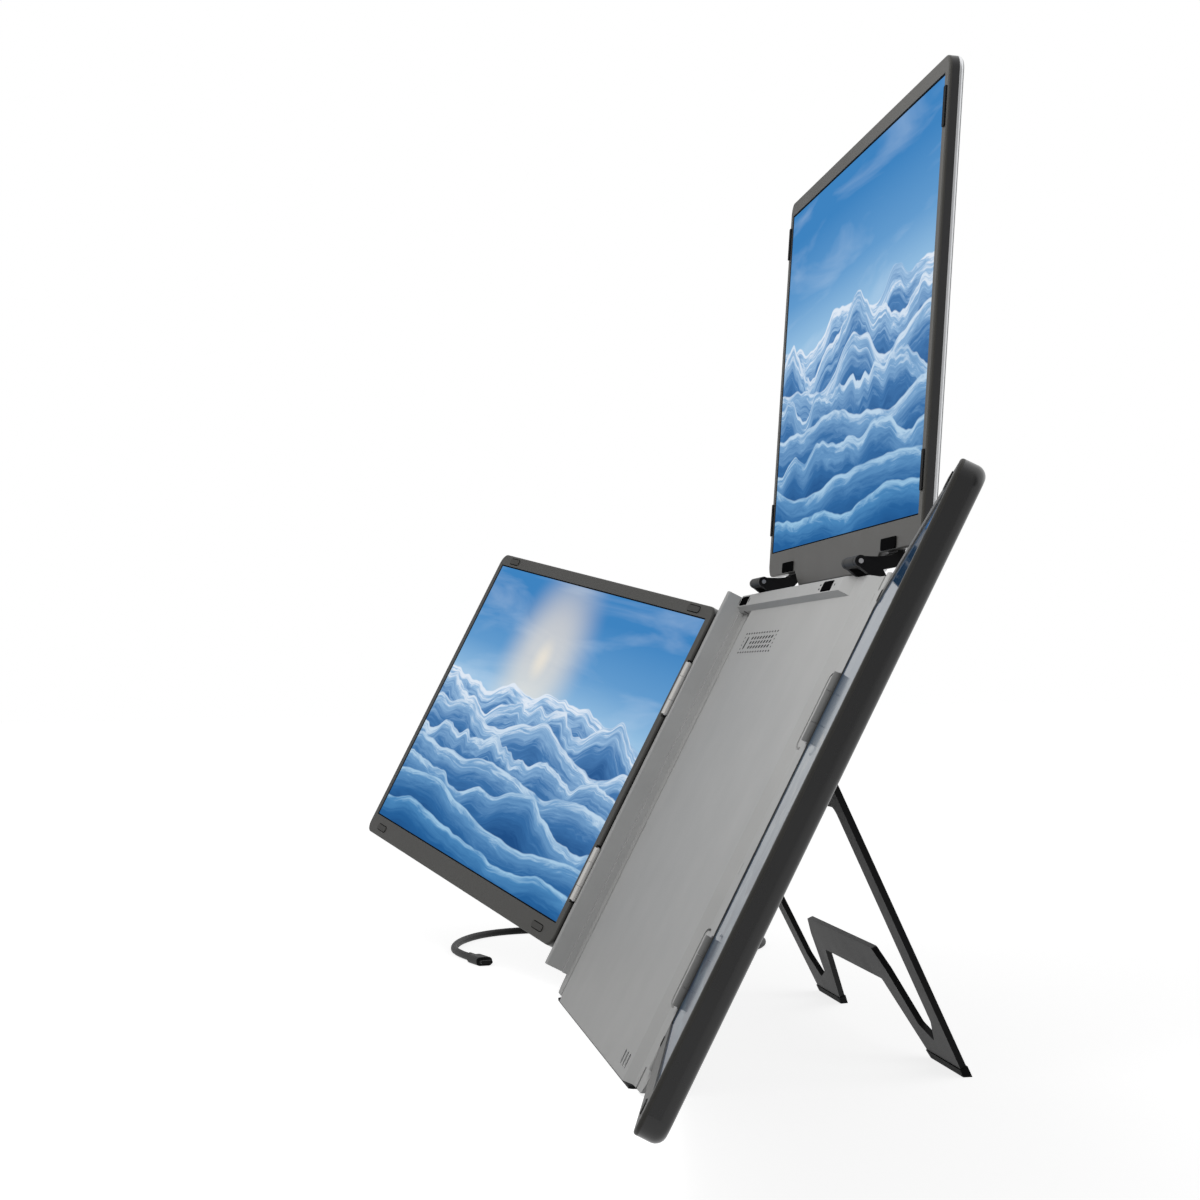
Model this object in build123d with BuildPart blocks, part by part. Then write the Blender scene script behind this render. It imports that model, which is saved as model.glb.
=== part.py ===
from build123d import *

import os
from math import cos, radians, sin, tan

os.makedirs("parts", exist_ok=True)

# A laptop screen extender: a leaning body with a left, a right and a top screen hinged to it,
# a kickstand behind it and a cable. Millimetres, +Z up, the user sits on the -Y side.
# The origin is the centre of the foot strip's underside.

# ---- Screens ----------------------------------------------------------------------------
ACTIVE_WIDTH = 381.9      # 17.3 inch, 16:9
ACTIVE_HEIGHT = 214.8
SIDE_BEZEL = 7.05
BOTTOM_BEZEL = 14.6
TOP_BEZEL = 8.6
SCREEN_WIDTH = ACTIVE_WIDTH + 2 * SIDE_BEZEL
SCREEN_HEIGHT = BOTTOM_BEZEL + ACTIVE_HEIGHT + TOP_BEZEL
SCREEN_DEPTH = 10.0       # a wing
TOP_SCREEN_DEPTH = 8.0
SCREEN_CORNER = 8.0
BEZEL_DEPTH = 1.6
GLASS_DEPTH = 1.0
LCD_SIDE, LCD_RIM = 1.75, 3.6     # the panel's own frame beyond the picture
LCD_DEPTH = 3.0
SHELL_WALL = 1.8
SHELL_BACK = 1.6
SHELL_ROUNDING = 4.0
TOP_SHELL_ROUNDING = 2.6
BEZEL_ROUNDING = 1.1
DRIVER_STANDOFF, DRIVER_DEPTH, DRIVER_CHIP = 0.3, 0.8, 0.5

# ---- Body -------------------------------------------------------------------------------
STAND_ANGLE = 62.4        # body to table
FOOT_HEIGHT = 1.6
FOOT_SHORTER = 52.0       # foot strip to the body's width
FOOT_DEPTH = 12.0
WING_BOTTOM = 23.8        # the body's lower edge to the wings' lower edges
LEDGE_GAP = 2.7           # between the wings' upper edges and the ledge
LEDGE_WIDTH = 10.5
BODY_NARROWER = 4.0       # the body to a screen
BODY_WIDTH = SCREEN_WIDTH - BODY_NARROWER
BODY_HEIGHT = WING_BOTTOM + SCREEN_HEIGHT + LEDGE_GAP + LEDGE_WIDTH
BODY_DEPTH = 12.0
BODY_CORNER = 9.0
HALF_BODY = BODY_WIDTH / 2
SEAM_LEVEL = -5.0         # where the front and rear covers meet
FLANGE_DROP = 3.0         # side flanges below the plateau
FLANGE_WIDTH = 29.0
PLATEAU_SLOPE = 14.5      # across each sloping side of the plateau
PLATEAU_HALF = HALF_BODY - FLANGE_WIDTH - PLATEAU_SLOPE
COVER_WALL = 1.8
REAR_WALL = 2.0
BACK_LEVEL = -BODY_DEPTH
FLOOR_LEVEL = BACK_LEVEL + REAR_WALL
LEDGE_HEIGHT = 3.3
LEDGE_BOTTOM = BODY_HEIGHT - LEDGE_WIDTH
LEDGE_SLOPE = 2.3
LEDGE_INSET = 6.0         # from the body's left side
LEDGE_RAMP = 18.0
GROOVE_INSET, GROOVE_WIDTH = 20.5, 3.5     # the groove along each flange
GROOVE_DEPTH = 1.2
LOOP_WIDTH, LOOP_LENGTH, LOOP_LINE = 11.0, 42.0, 1.3    # cable lids beside the wing hinges
EDGE_NOTCHES = (117.0, BODY_HEIGHT - 12.5)
NOTCH_LENGTH = 6.0
CLEARANCE = 0.3           # between pieces that move past each other
SNUG = 0.05               # around pins, screws and plugs

# ---- Wing hinges ------------------------------------------------------------------------
HINGE_REACH = 7.0         # axis outside the body's side
HINGE_X = HALF_BODY + HINGE_REACH
LEFT, RIGHT_SIDE = -1, 1
FOLDED_GAP = 1.2          # between the plateau and the folded right wing
STACK_GAP = 1.0           # between the folded wings
FACE_ABOVE_AXIS = {LEFT: 0.3, RIGHT_SIDE: -0.3}
AXIS_LEVEL = {LEFT: FOLDED_GAP + SCREEN_DEPTH + STACK_GAP + FACE_ABOVE_AXIS[LEFT],
              RIGHT_SIDE: FOLDED_GAP + FACE_ABOVE_AXIS[RIGHT_SIDE]}
OPEN_ANGLE = {LEFT: 17.2, RIGHT_SIDE: 10.2}
WING_GAP = 2.0            # axis to the wing's edge
BARREL_RADIUS = 3.0
BARREL_LENGTH = 36.0
MOVING_KNUCKLE = 16.4
HINGE_FROM_ENDS = {LEFT: (50.6, 57.4), RIGHT_SIDE: (40.0, 60.0)}   # lower and upper end
HINGE_HEIGHTS = {side: (ends[0], SCREEN_HEIGHT - ends[1])
                 for side, ends in HINGE_FROM_ENDS.items()}
WING_PIN_RADIUS = 1.2
PIN_PROUD = 0.5           # past each end of its barrel
LEAF_DEPTH = 1.6
LEAF_LENGTH = 26.0
BARREL_NOTCH = 3.0        # depth of the notch in the wing's edge
NOTCH_END_GAP = 2.0
NOTCH_WALL = 1.6
NOTCH_WALL_INSET = 1.2    # from the shell's rounded side
TONGUE_DEPTH = 2.2
TONGUE_LEVEL = 2.6 - SCREEN_DEPTH   # back face of the moving leaf, from the screen's face
TONGUE_REACH = 24.0
SCREW_RADIUS = 1.0
SCREW_HEAD_RADIUS = 1.9
# A rail along each side of the body fills the gap to the wing, just under the folded wing.
RAIL_GAP = 0.6
RAIL_TOP = {side: AXIS_LEVEL[side] - FACE_ABOVE_AXIS[side] - RAIL_GAP
            for side in (LEFT, RIGHT_SIDE)}
RAIL_OUTER = HINGE_X + 0.3
RAIL_INNER = HINGE_X - BARREL_RADIUS - CLEARANCE    # unbroken behind the barrels
RAIL_BOTTOM = -4.2
RAIL_START = 14.0
RAIL_FOOT = 5.0           # onto the flange
RAIL_ROUNDING = 1.0

# ---- Top screen hinge -------------------------------------------------------------------
TOP_AXIS_ABOVE = 5.0      # above the body's upper edge
TOP_AXIS_U = BODY_HEIGHT + TOP_AXIS_ABOVE
TOP_AXIS_LEVEL = 6.1
TOP_OPEN = 22.7           # top screen to body plane
TOP_REACH = 6.9           # axis to the screen's bottom edge
TOP_STACK_GAP = 1.2       # between the folded left wing and the folded top screen
TOP_FACE_OFFSET = (TOP_AXIS_LEVEL - FOLDED_GAP - STACK_GAP - TOP_STACK_GAP
                   - 2 * SCREEN_DEPTH)
TOP_ARM_X = 133.0
TOP_ARM_WIDTH = 20.0
TOP_EAR_WIDTH = 5.5
EAR_GAP = 0.5
TOP_EAR_SPAN = TOP_ARM_WIDTH + 2 * (TOP_EAR_WIDTH + EAR_GAP)
TOP_BARREL_RADIUS = 3.0
TOP_PIN_RADIUS = 1.25
TOP_ARM_DEPTH = 3.9
TOP_ARM_FACE = -2.4       # arm's front side, below the screen's face
NOTCH_SIDE_GAP = 1.0
NOTCH_WIDTH = TOP_EAR_SPAN + 2 * NOTCH_SIDE_GAP
NOTCH_FLOOR = BODY_HEIGHT - 13.0
BRACKET_RISE = 2.5
CHIN_DROP = 9.0
CHIN_GAP = 4.0            # the chin's end to the arm notch
CHIN_TOP_HALF = TOP_ARM_X - NOTCH_WIDTH / 2 - CHIN_GAP
CHIN_BOTTOM_HALF = CHIN_TOP_HALF - 14.0
CAP_DEPTH = 0.8
CAP_HEIGHT = 6.0
LEDGE_LEFT = -HALF_BODY + LEDGE_INSET
LEDGE_RIGHT = TOP_ARM_X - 23.0    # start of the ramp down beside the right arm

# ---- Kickstand --------------------------------------------------------------------------
KICK_AXIS_U = 178.0
KICK_AXIS_BEHIND = 3.6    # behind the body's back face
KICK_LEAN_ANGLE = 24.75   # open stand to the vertical
KICK_DEPTH = 3.2
KICK_KNUCKLE_X = HALF_BODY - 31.0
KICK_KNUCKLE_WIDTH = 13.0
KICK_LUG_WIDTH = 8.0
KICK_BARREL_RADIUS = 3.3
KICK_PIN_RADIUS = 1.25
KICK_SOCK_FLOOR = 2.0
KICK_SOCK_RISE = 5.0
KICK_SOCK_WALL = 0.5
KICK_TOP_HALF = HALF_BODY - 6.0
KICK_FOOT_OUTER = HALF_BODY - 24.0
KICK_FOOT_INNER = 110.0
KICK_BAR_LOW = 41.0
KICK_BAR_LOW_HALF = 72.0
KICK_BAR_WIDTH = 22.0     # the window's upper corner to the outer edge
KICK_BELOW = 6.0          # the plate's outline runs below the table before it is trimmed
KICK_BEND = 4.0

# ---- Electronics, keys and ports --------------------------------------------------------
USB_WIDTH, USB_DEPTH, USB_LENGTH = 9.0, 3.2, 8.0
HDMI_WIDTH, HDMI_DEPTH = 11.4, 3.6
PORT_LEVEL = FLOOR_LEVEL + 2.4
LOWER_LEAF_END = WING_BOTTOM + HINGE_HEIGHTS[LEFT][0] + BARREL_LENGTH / 2
PORT_PITCH = 15.5
PORT_HEIGHTS = (LOWER_LEAF_END + 17.6, LOWER_LEAF_END + 17.6 + PORT_PITCH)
HDMI_HEIGHT_U = PORT_HEIGHTS[1] + PORT_PITCH
PORT_BOARD_WIDTH = 28.0
PORT_BOARD_MARGIN = 10.0
SOCKET_WALL = 0.3
BOARD_DEPTH = 1.6
STANDOFF = 1.4
STANDOFF_RADIUS = 3.0
STANDOFF_INSET = (10.0, 8.0)
MAIN_BOARD_LEVEL = FLOOR_LEVEL + STANDOFF
MAIN_BOARD_WIDTH, MAIN_BOARD_HEIGHT = 236.0, 94.0
MAIN_BOARD_U = BODY_HEIGHT - 110.0    # the board's centre
KEY_CENTRES = (-HALF_BODY + 22.0, 76.0)
KEY_U = BODY_HEIGHT - 4.6
KEY_WIDTH, KEY_HEIGHT = 25.0, 5.6
KEY_TRAVEL = 0.8
KEY_PROUD = 0.3
KEY_FLANGE = 1.2
KEY_BOARD_LEVEL = -7.5
KEY_BOARD_WIDTH = 26.0
KEY_STEP = 7.0            # the two switches either side of a key's middle
KEY_STEM_RADIUS = 1.2
SCREW_INSET = 46.0
COVER_SCREWS = tuple((side * (HALF_BODY - SCREW_INSET), u) for u in (32.0, 120.0)
                     for side in (-1, 1)) + tuple((x, BODY_HEIGHT - 23.0) for x in (-95.0, 95.0))
COVER_SCREW_HEAD = 2.6
COVER_SCREW_SHANK = 1.2
COVER_HEAD_DEPTH = 1.6
BOSS_RADIUS = 3.6
VENT_CENTRE = (HALF_BODY - 62.0, 8.5)
SLOT_ROW_U = BODY_HEIGHT - 47.0

# ---- Cable ------------------------------------------------------------------------------
CABLE_RADIUS = 2.6
PLUG_WIDTH, PLUG_DEPTH, PLUG_LENGTH = 11.4, 6.0, 22.0
PLUG_NOSE_WIDTH, PLUG_NOSE_DEPTH, PLUG_NOSE_LENGTH = 8.2, 2.4, 6.2
RELIEF_RADIUS = 3.5
RELIEF_LENGTH = 12.0

LEAN = radians(STAND_ANGLE)
ACROSS = Vector(1, 0, 0)
UP = Vector(0, cos(LEAN), sin(LEAN))
FRONT = Vector(0, -sin(LEAN), cos(LEAN))
CORNER = Vector(0, -BODY_DEPTH / (2 * sin(LEAN)), FOOT_HEIGHT)


def at(x, u, level):
    """A point by its place across the body, up its face and in front of its plateau."""
    return CORNER + ACROSS * x + UP * u + FRONT * level


def face_plane(level):
    """Parallel to the body's face: x across, y up the face."""
    return Plane(origin=at(0, 0, level), x_dir=ACROSS, z_dir=FRONT)


def side_plane(x):
    """Across the body: x up the face, y out of the face, extruding to the right."""
    return Plane(origin=at(x, 0, 0), x_dir=UP, z_dir=ACROSS)


def finish(piece, name):
    piece.part.label = name
    export_step(piece.part, f"parts/{name}.step")


def block(plane, x_span, y_span, z_span, mode=Mode.ADD):
    """A box between two values along each direction of a plane."""
    centre = [(low + high) / 2 for low, high in (x_span, y_span, z_span)]
    size = [high - low for low, high in (x_span, y_span, z_span)]
    with Locations(plane * Location(centre)):
        Box(*size, mode=mode)


def rod(plane, centre, radius, z_span, mode=Mode.ADD):
    """A cylinder along a plane's normal."""
    with Locations(plane * Location((*centre, sum(z_span) / 2))):
        Cylinder(radius, z_span[1] - z_span[0], mode=mode)


def prism(plane, points, length, mode=Mode.ADD):
    """A closed outline on a plane, extruded along its normal."""
    with BuildSketch(plane) as outline:
        with BuildLine():
            Polyline(*points, close=True)
        make_face()
    extrude(outline.sketch, amount=length, mode=mode)


def rounded_slab(plane, centre, size, radius, z_span, mode=Mode.ADD):
    with BuildSketch(plane.offset(z_span[0])) as outline:
        with Locations(centre):
            RectangleRounded(*size, radius)
    extrude(outline.sketch, amount=z_span[1] - z_span[0], mode=mode)


# ---- Body covers ------------------------------------------------------------------------
FACE = face_plane(0)
TABLE = Plane(origin=(0, 0, FOOT_HEIGHT))
BODY_CENTRE = (0, BODY_HEIGHT / 2)
NOTCH_HALF = NOTCH_WIDTH / 2
NOTCH_FRAME = 2.2         # wall kept round each arm notch
BODY_SIDES = (-1, 1)


def cavity(plane, half_width, bottom, amount):
    """The covers' inside, kept away from the arm notches."""
    top = BODY_HEIGHT - REAR_WALL
    with BuildSketch(plane) as inside:
        with Locations((0, (bottom + top) / 2)):
            RectangleRounded(2 * half_width, top - bottom, BODY_CORNER - REAR_WALL)
        with Locations(*[(side * TOP_ARM_X, top) for side in BODY_SIDES]):
            Rectangle(NOTCH_WIDTH + 2 * NOTCH_FRAME, 2 * (top - NOTCH_FLOOR + NOTCH_FRAME),
                      mode=Mode.SUBTRACT)
    extrude(inside.sketch, amount=amount, mode=Mode.SUBTRACT)


def cut_arm_notches(levels):
    for side in BODY_SIDES:
        centre = side * TOP_ARM_X
        block(FACE, (centre - NOTCH_HALF, centre + NOTCH_HALF), (NOTCH_FLOOR, BODY_HEIGHT + 1),
              levels, Mode.SUBTRACT)


def add_side_rail(side):
    """A wall up to the folded wing, open in front of each hinge barrel."""
    top = RAIL_TOP[side]
    x_span = sorted((side * HALF_BODY, side * RAIL_OUTER))
    with BuildPart(mode=Mode.PRIVATE) as rail:
        block(FACE, x_span, (RAIL_START, BODY_HEIGHT - 1), (RAIL_BOTTOM, top))
        fillet(rail.edges().filter_by(Axis((0, 0, 0), UP)).group_by(Axis(CORNER, FRONT))[-1],
               RAIL_ROUNDING)
        for height in HINGE_HEIGHTS[side]:
            half = BARREL_LENGTH / 2 + PIN_PROUD + CLEARANCE
            u = WING_BOTTOM + height
            block(FACE, sorted((side * RAIL_INNER, side * (RAIL_OUTER + 1))),
                  (u - half, u + half), (RAIL_BOTTOM - 1, top + 1), Mode.SUBTRACT)
        block(FACE, sorted((side * (HALF_BODY - RAIL_FOOT), side * (HALF_BODY + 1))),
              (RAIL_START, BODY_HEIGHT - LEDGE_WIDTH), (-FLANGE_DROP, min(top, 0.5)))
    add(rail.part)


with BuildPart() as front_cover:
    rounded_slab(FACE, BODY_CENTRE, (BODY_WIDTH, BODY_HEIGHT), BODY_CORNER,
                 (SEAM_LEVEL, -FLANGE_DROP))
    plateau_foot = PLATEAU_HALF + PLATEAU_SLOPE
    prism(Plane(origin=at(0, BODY_HEIGHT, 0), x_dir=ACROSS, z_dir=-UP),
          [(-plateau_foot, -FLANGE_DROP), (plateau_foot, -FLANGE_DROP), (PLATEAU_HALF, 0),
           (-PLATEAU_HALF, 0)], BODY_HEIGHT)
    prism(side_plane(LEDGE_LEFT),
          [(LEDGE_BOTTOM, 0), (LEDGE_BOTTOM + LEDGE_SLOPE, LEDGE_HEIGHT),
           (BODY_HEIGHT - 0.8, LEDGE_HEIGHT), (BODY_HEIGHT, LEDGE_HEIGHT - 0.8),
           (BODY_HEIGHT, -FLANGE_DROP), (LEDGE_BOTTOM, -FLANGE_DROP)],
          LEDGE_RIGHT + LEDGE_RAMP - LEDGE_LEFT)
    ramp_end = LEDGE_RIGHT + LEDGE_RAMP
    ramp_plane = Plane(origin=at(0, BODY_HEIGHT + 1, 0), x_dir=ACROSS, z_dir=-UP)
    prism(ramp_plane,
          [(LEDGE_RIGHT, LEDGE_HEIGHT), (ramp_end, 0), (ramp_end + 1, 0),
           (ramp_end + 1, LEDGE_HEIGHT + 1), (LEDGE_RIGHT, LEDGE_HEIGHT + 1)],
          BODY_HEIGHT + 1 - LEDGE_BOTTOM, Mode.SUBTRACT)
    cavity(face_plane(SEAM_LEVEL), PLATEAU_HALF - COVER_WALL, 6.0,
           -SEAM_LEVEL - COVER_WALL)
    # Screw bosses hang from the inside of the cover.
    for x, u in COVER_SCREWS:
        rod(FACE, (x, u), BOSS_RADIUS, (SEAM_LEVEL, -COVER_WALL))
        rod(FACE, (x, u), COVER_SCREW_SHANK + SNUG, (SEAM_LEVEL, -COVER_WALL - 0.4),
            Mode.SUBTRACT)
    # Key openings and the guides behind them.
    for x in KEY_CENTRES:
        half_width = KEY_WIDTH / 2 + CLEARANCE
        half_height = KEY_HEIGHT / 2 + CLEARANCE
        block(FACE, (x - half_width - KEY_FLANGE, x + half_width + KEY_FLANGE),
              (KEY_U - half_height - KEY_FLANGE, KEY_U + half_height + KEY_FLANGE),
              (SEAM_LEVEL, -COVER_WALL), Mode.SUBTRACT)
        block(FACE, (x - half_width, x + half_width), (KEY_U - half_height, KEY_U + half_height),
              (SEAM_LEVEL, LEDGE_HEIGHT + 1), Mode.SUBTRACT)
    for side in BODY_SIDES:
        add_side_rail(side)
    # A groove along each flange, with small notches and a cable lid's outline beside it.
    for side in BODY_SIDES:
        outer = HALF_BODY - GROOVE_INSET + GROOVE_WIDTH
        inner = HALF_BODY - GROOVE_INSET
        levels = (-FLANGE_DROP - GROOVE_DEPTH, 0.5)
        block(FACE, sorted((side * inner, side * outer)), (-1, BODY_HEIGHT + 1), levels,
              Mode.SUBTRACT)
        for u in EDGE_NOTCHES:
            block(FACE, sorted((side * (inner - GROOVE_WIDTH), side * inner)),
                  (u - NOTCH_LENGTH / 2, u + NOTCH_LENGTH / 2), levels, Mode.SUBTRACT)
        with BuildSketch(face_plane(levels[0])) as loops:
            for height in HINGE_HEIGHTS[RIGHT_SIDE]:
                with Locations((side * (inner - LOOP_WIDTH / 2 - 0.6), WING_BOTTOM + height)):
                    RectangleRounded(LOOP_WIDTH, LOOP_LENGTH, 4.0)
                    RectangleRounded(LOOP_WIDTH - 2 * LOOP_LINE, LOOP_LENGTH - 2 * LOOP_LINE,
                                     4.0 - LOOP_LINE, mode=Mode.SUBTRACT)
        extrude(loops.sketch, amount=levels[1] - levels[0], mode=Mode.SUBTRACT)
    # A slotted vent low on the right.
    with BuildSketch(face_plane(-COVER_WALL - 1)) as vent:
        with Locations(VENT_CENTRE):
            with GridLocations(8, 0, 3, 1):
                SlotOverall(8, 3.6, rotation=90)
    extrude(vent.sketch, amount=COVER_WALL + 2, mode=Mode.SUBTRACT)
    cut_arm_notches((SEAM_LEVEL - 1, -COVER_WALL))
    split(bisect_by=TABLE, keep=Keep.TOP)
finish(front_cover, "front_cover")

with BuildPart() as rear_cover:
    rounded_slab(FACE, BODY_CENTRE, (BODY_WIDTH, BODY_HEIGHT), BODY_CORNER,
                 (BACK_LEVEL, SEAM_LEVEL))
    fillet(rear_cover.faces().sort_by(Axis(CORNER, FRONT))[0].edges(), 2.5)
    cavity(face_plane(FLOOR_LEVEL), HALF_BODY - REAR_WALL, 9.5, SEAM_LEVEL - FLOOR_LEVEL)
    for x, u in COVER_SCREWS:
        rod(FACE, (x, u), BOSS_RADIUS, (FLOOR_LEVEL, SEAM_LEVEL))
        rod(FACE, (x, u), COVER_SCREW_SHANK + SNUG, (BACK_LEVEL, SEAM_LEVEL), Mode.SUBTRACT)
        rod(FACE, (x, u), COVER_SCREW_HEAD + SNUG,
            (BACK_LEVEL - 1, BACK_LEVEL + COVER_HEAD_DEPTH), Mode.SUBTRACT)
    # Standoffs for the main board and posts for the key boards.
    with BuildSketch(face_plane(FLOOR_LEVEL)) as standoffs:
        with Locations((0, MAIN_BOARD_U)):
            with GridLocations(MAIN_BOARD_WIDTH - 2 * STANDOFF_INSET[0],
                               MAIN_BOARD_HEIGHT - 2 * STANDOFF_INSET[1], 2, 2):
                Circle(STANDOFF_RADIUS)
    extrude(standoffs.sketch, amount=STANDOFF)
    for x in KEY_CENTRES:
        half = KEY_BOARD_WIDTH / 2 - 1
        block(FACE, (x - half, x + half), (KEY_U - 4, KEY_U + 2), (FLOOR_LEVEL, KEY_BOARD_LEVEL))
    # Port openings in the left wall.
    for u in PORT_HEIGHTS:
        block(FACE, (-HALF_BODY - 1, -HALF_BODY + REAR_WALL + 1),
              (u - USB_WIDTH / 2 - SNUG, u + USB_WIDTH / 2 + SNUG),
              (PORT_LEVEL - USB_DEPTH / 2 - SNUG, PORT_LEVEL + USB_DEPTH / 2 + SNUG),
              Mode.SUBTRACT)
    block(FACE, (-HALF_BODY - 1, -HALF_BODY + REAR_WALL + 1),
          (HDMI_HEIGHT_U - HDMI_WIDTH / 2 - SNUG, HDMI_HEIGHT_U + HDMI_WIDTH / 2 + SNUG),
          (PORT_LEVEL - HDMI_DEPTH / 2 - SNUG, PORT_LEVEL + HDMI_DEPTH / 2 + SNUG), Mode.SUBTRACT)
    # Slots in the side walls for the wing hinges' leaves, which lie under the flanges.
    for side in BODY_SIDES:
        for height in HINGE_HEIGHTS[side]:
            u = WING_BOTTOM + height
            half = BARREL_LENGTH / 2 + CLEARANCE
            block(FACE, sorted((side * (HALF_BODY - REAR_WALL - 1), side * (HALF_BODY + 1))),
                  (u - half, u + half), (SEAM_LEVEL - LEAF_DEPTH - SNUG, SEAM_LEVEL + 1),
                  Mode.SUBTRACT)
    # Cooling slots in the back.
    with BuildSketch(face_plane(BACK_LEVEL - 1)) as slots:
        with Locations((0, SLOT_ROW_U)):
            with GridLocations(7, 0, 13, 1):
                SlotOverall(16, 2.4, rotation=90)
    extrude(slots.sketch, amount=REAR_WALL + 2, mode=Mode.SUBTRACT)
    cut_arm_notches((BACK_LEVEL - 1, SEAM_LEVEL + 1))
    split(bisect_by=TABLE, keep=Keep.TOP)
finish(rear_cover, "rear_cover")

with BuildPart() as base_foot:
    with Locations((0, 0, FOOT_HEIGHT / 2)):
        Box(BODY_WIDTH - FOOT_SHORTER, FOOT_DEPTH, FOOT_HEIGHT)
    chamfer(base_foot.edges().filter_by(Axis.Z), 2.0)
finish(base_foot, "base_foot")

with BuildPart() as cover_screws:
    for x, u in COVER_SCREWS:
        rod(FACE, (x, u), COVER_SCREW_HEAD, (BACK_LEVEL + 0.3, BACK_LEVEL + COVER_HEAD_DEPTH))
        rod(FACE, (x, u), 1.0, (BACK_LEVEL, BACK_LEVEL + 0.8), Mode.SUBTRACT)
        rod(FACE, (x, u), COVER_SCREW_SHANK, (BACK_LEVEL + COVER_HEAD_DEPTH, -COVER_WALL - 1))
finish(cover_screws, "cover_screws")

# ---- Boards, ports and keys -------------------------------------------------------------
with BuildPart() as main_board:
    block(FACE, (-MAIN_BOARD_WIDTH / 2, MAIN_BOARD_WIDTH / 2),
          (MAIN_BOARD_U - MAIN_BOARD_HEIGHT / 2, MAIN_BOARD_U + MAIN_BOARD_HEIGHT / 2),
          (MAIN_BOARD_LEVEL, MAIN_BOARD_LEVEL + BOARD_DEPTH))
finish(main_board, "main_board")

with BuildPart() as board_chips:
    chip_base = MAIN_BOARD_LEVEL + BOARD_DEPTH
    # Each one's place from the board's centre, and its size.
    for x, v, width, height, depth in (
        (-20, 3, 22, 22, 1.6), (28, 5, 16, 16, 1.4), (60, -15, 12, 12, 1.2),
        (-64, -15, 14, 10, 1.2), (-96, 13, 9, 24, 3.2), (96, 11, 9, 24, 3.2), (0, 37, 40, 6, 2.4),
    ):
        u = MAIN_BOARD_U + v
        block(FACE, (x - width / 2, x + width / 2), (u - height / 2, u + height / 2),
              (chip_base, chip_base + depth))
finish(board_chips, "board_chips")

with BuildPart() as port_board:
    port_board_top = PORT_LEVEL - HDMI_DEPTH / 2
    inner_wall = -HALF_BODY + REAR_WALL
    block(FACE, (inner_wall + 0.2, inner_wall + PORT_BOARD_WIDTH),
          (PORT_HEIGHTS[0] - PORT_BOARD_MARGIN, HDMI_HEIGHT_U + PORT_BOARD_MARGIN + 2),
          (FLOOR_LEVEL, port_board_top))
finish(port_board, "port_board")


def port_socket(plane, width, depth):
    """A thin metal shell, open to the left, lying on the port board."""
    start = -HALF_BODY + 0.4
    block(plane, (start, start + USB_LENGTH), (-width / 2, width / 2), (-depth / 2, depth / 2))
    block(plane, (start - 1, start + USB_LENGTH - 0.6),
          (-width / 2 + SOCKET_WALL, width / 2 - SOCKET_WALL),
          (-depth / 2 + SOCKET_WALL, depth / 2 - SOCKET_WALL), Mode.SUBTRACT)


with BuildPart() as usb_sockets:
    for u in PORT_HEIGHTS:
        port_plane = Plane(origin=at(0, u, PORT_LEVEL), x_dir=ACROSS, z_dir=FRONT)
        port_socket(port_plane, USB_WIDTH, USB_DEPTH)
        block(port_plane, (-HALF_BODY + 3, -HALF_BODY + 7), (-3, 3),
              (-HDMI_DEPTH / 2, -USB_DEPTH / 2))
finish(usb_sockets, "usb_sockets")

with BuildPart() as hdmi_socket:
    hdmi_plane = Plane(origin=at(0, HDMI_HEIGHT_U, PORT_LEVEL), x_dir=ACROSS, z_dir=FRONT)
    port_socket(hdmi_plane, HDMI_WIDTH, HDMI_DEPTH)
finish(hdmi_socket, "hdmi_socket")

with BuildPart() as key_boards:
    for x in KEY_CENTRES:
        block(FACE, (x - KEY_BOARD_WIDTH / 2, x + KEY_BOARD_WIDTH / 2),
              (KEY_U - 4.5, KEY_U + 2.4), (KEY_BOARD_LEVEL, KEY_BOARD_LEVEL + 1))
finish(key_boards, "key_boards")

FLANGE_BACK = -COVER_WALL - SNUG - 0.8
KEY_STEM_END = FLANGE_BACK - 1.0
with BuildPart() as key_switches:
    for x in KEY_CENTRES:
        for step in (-KEY_STEP, KEY_STEP):
            block(FACE, (x + step - 2.5, x + step + 2.5), (KEY_U - 2.2, KEY_U + 2.2),
                  (KEY_BOARD_LEVEL + 1, KEY_STEM_END - KEY_TRAVEL - 0.1))
finish(key_switches, "key_switches")

for key_name, x in zip(("ledge_key_left", "ledge_key_right"), KEY_CENTRES):
    with BuildPart() as ledge_key:
        block(FACE, (x - KEY_WIDTH / 2, x + KEY_WIDTH / 2),
              (KEY_U - KEY_HEIGHT / 2, KEY_U + KEY_HEIGHT / 2),
              (-COVER_WALL - SNUG, LEDGE_HEIGHT + KEY_PROUD))
        cap_top = ledge_key.faces().sort_by(Axis(CORNER, FRONT))[-1]
        chamfer(cap_top.edges(), 0.4)
        reach = KEY_FLANGE - 0.2
        block(FACE, (x - KEY_WIDTH / 2 - reach, x + KEY_WIDTH / 2 + reach),
              (KEY_U - KEY_HEIGHT / 2 - reach, KEY_U + KEY_HEIGHT / 2 + reach),
              (FLANGE_BACK, -COVER_WALL - SNUG))
        for step in (-KEY_STEP, KEY_STEP):
            rod(FACE, (x + step, KEY_U), KEY_STEM_RADIUS, (KEY_STEM_END, FLANGE_BACK))
    finish(ledge_key, key_name)


# ---- Screens ----------------------------------------------------------------------------
def wing_directions(side):
    """Away from the hinge, and out of the screen, of an open wing."""
    swing = radians(OPEN_ANGLE[side])
    away = ACROSS * (side * cos(swing)) + FRONT * sin(swing)
    facing = ACROSS * (-side * sin(swing)) + FRONT * cos(swing)
    return away, facing


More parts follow.
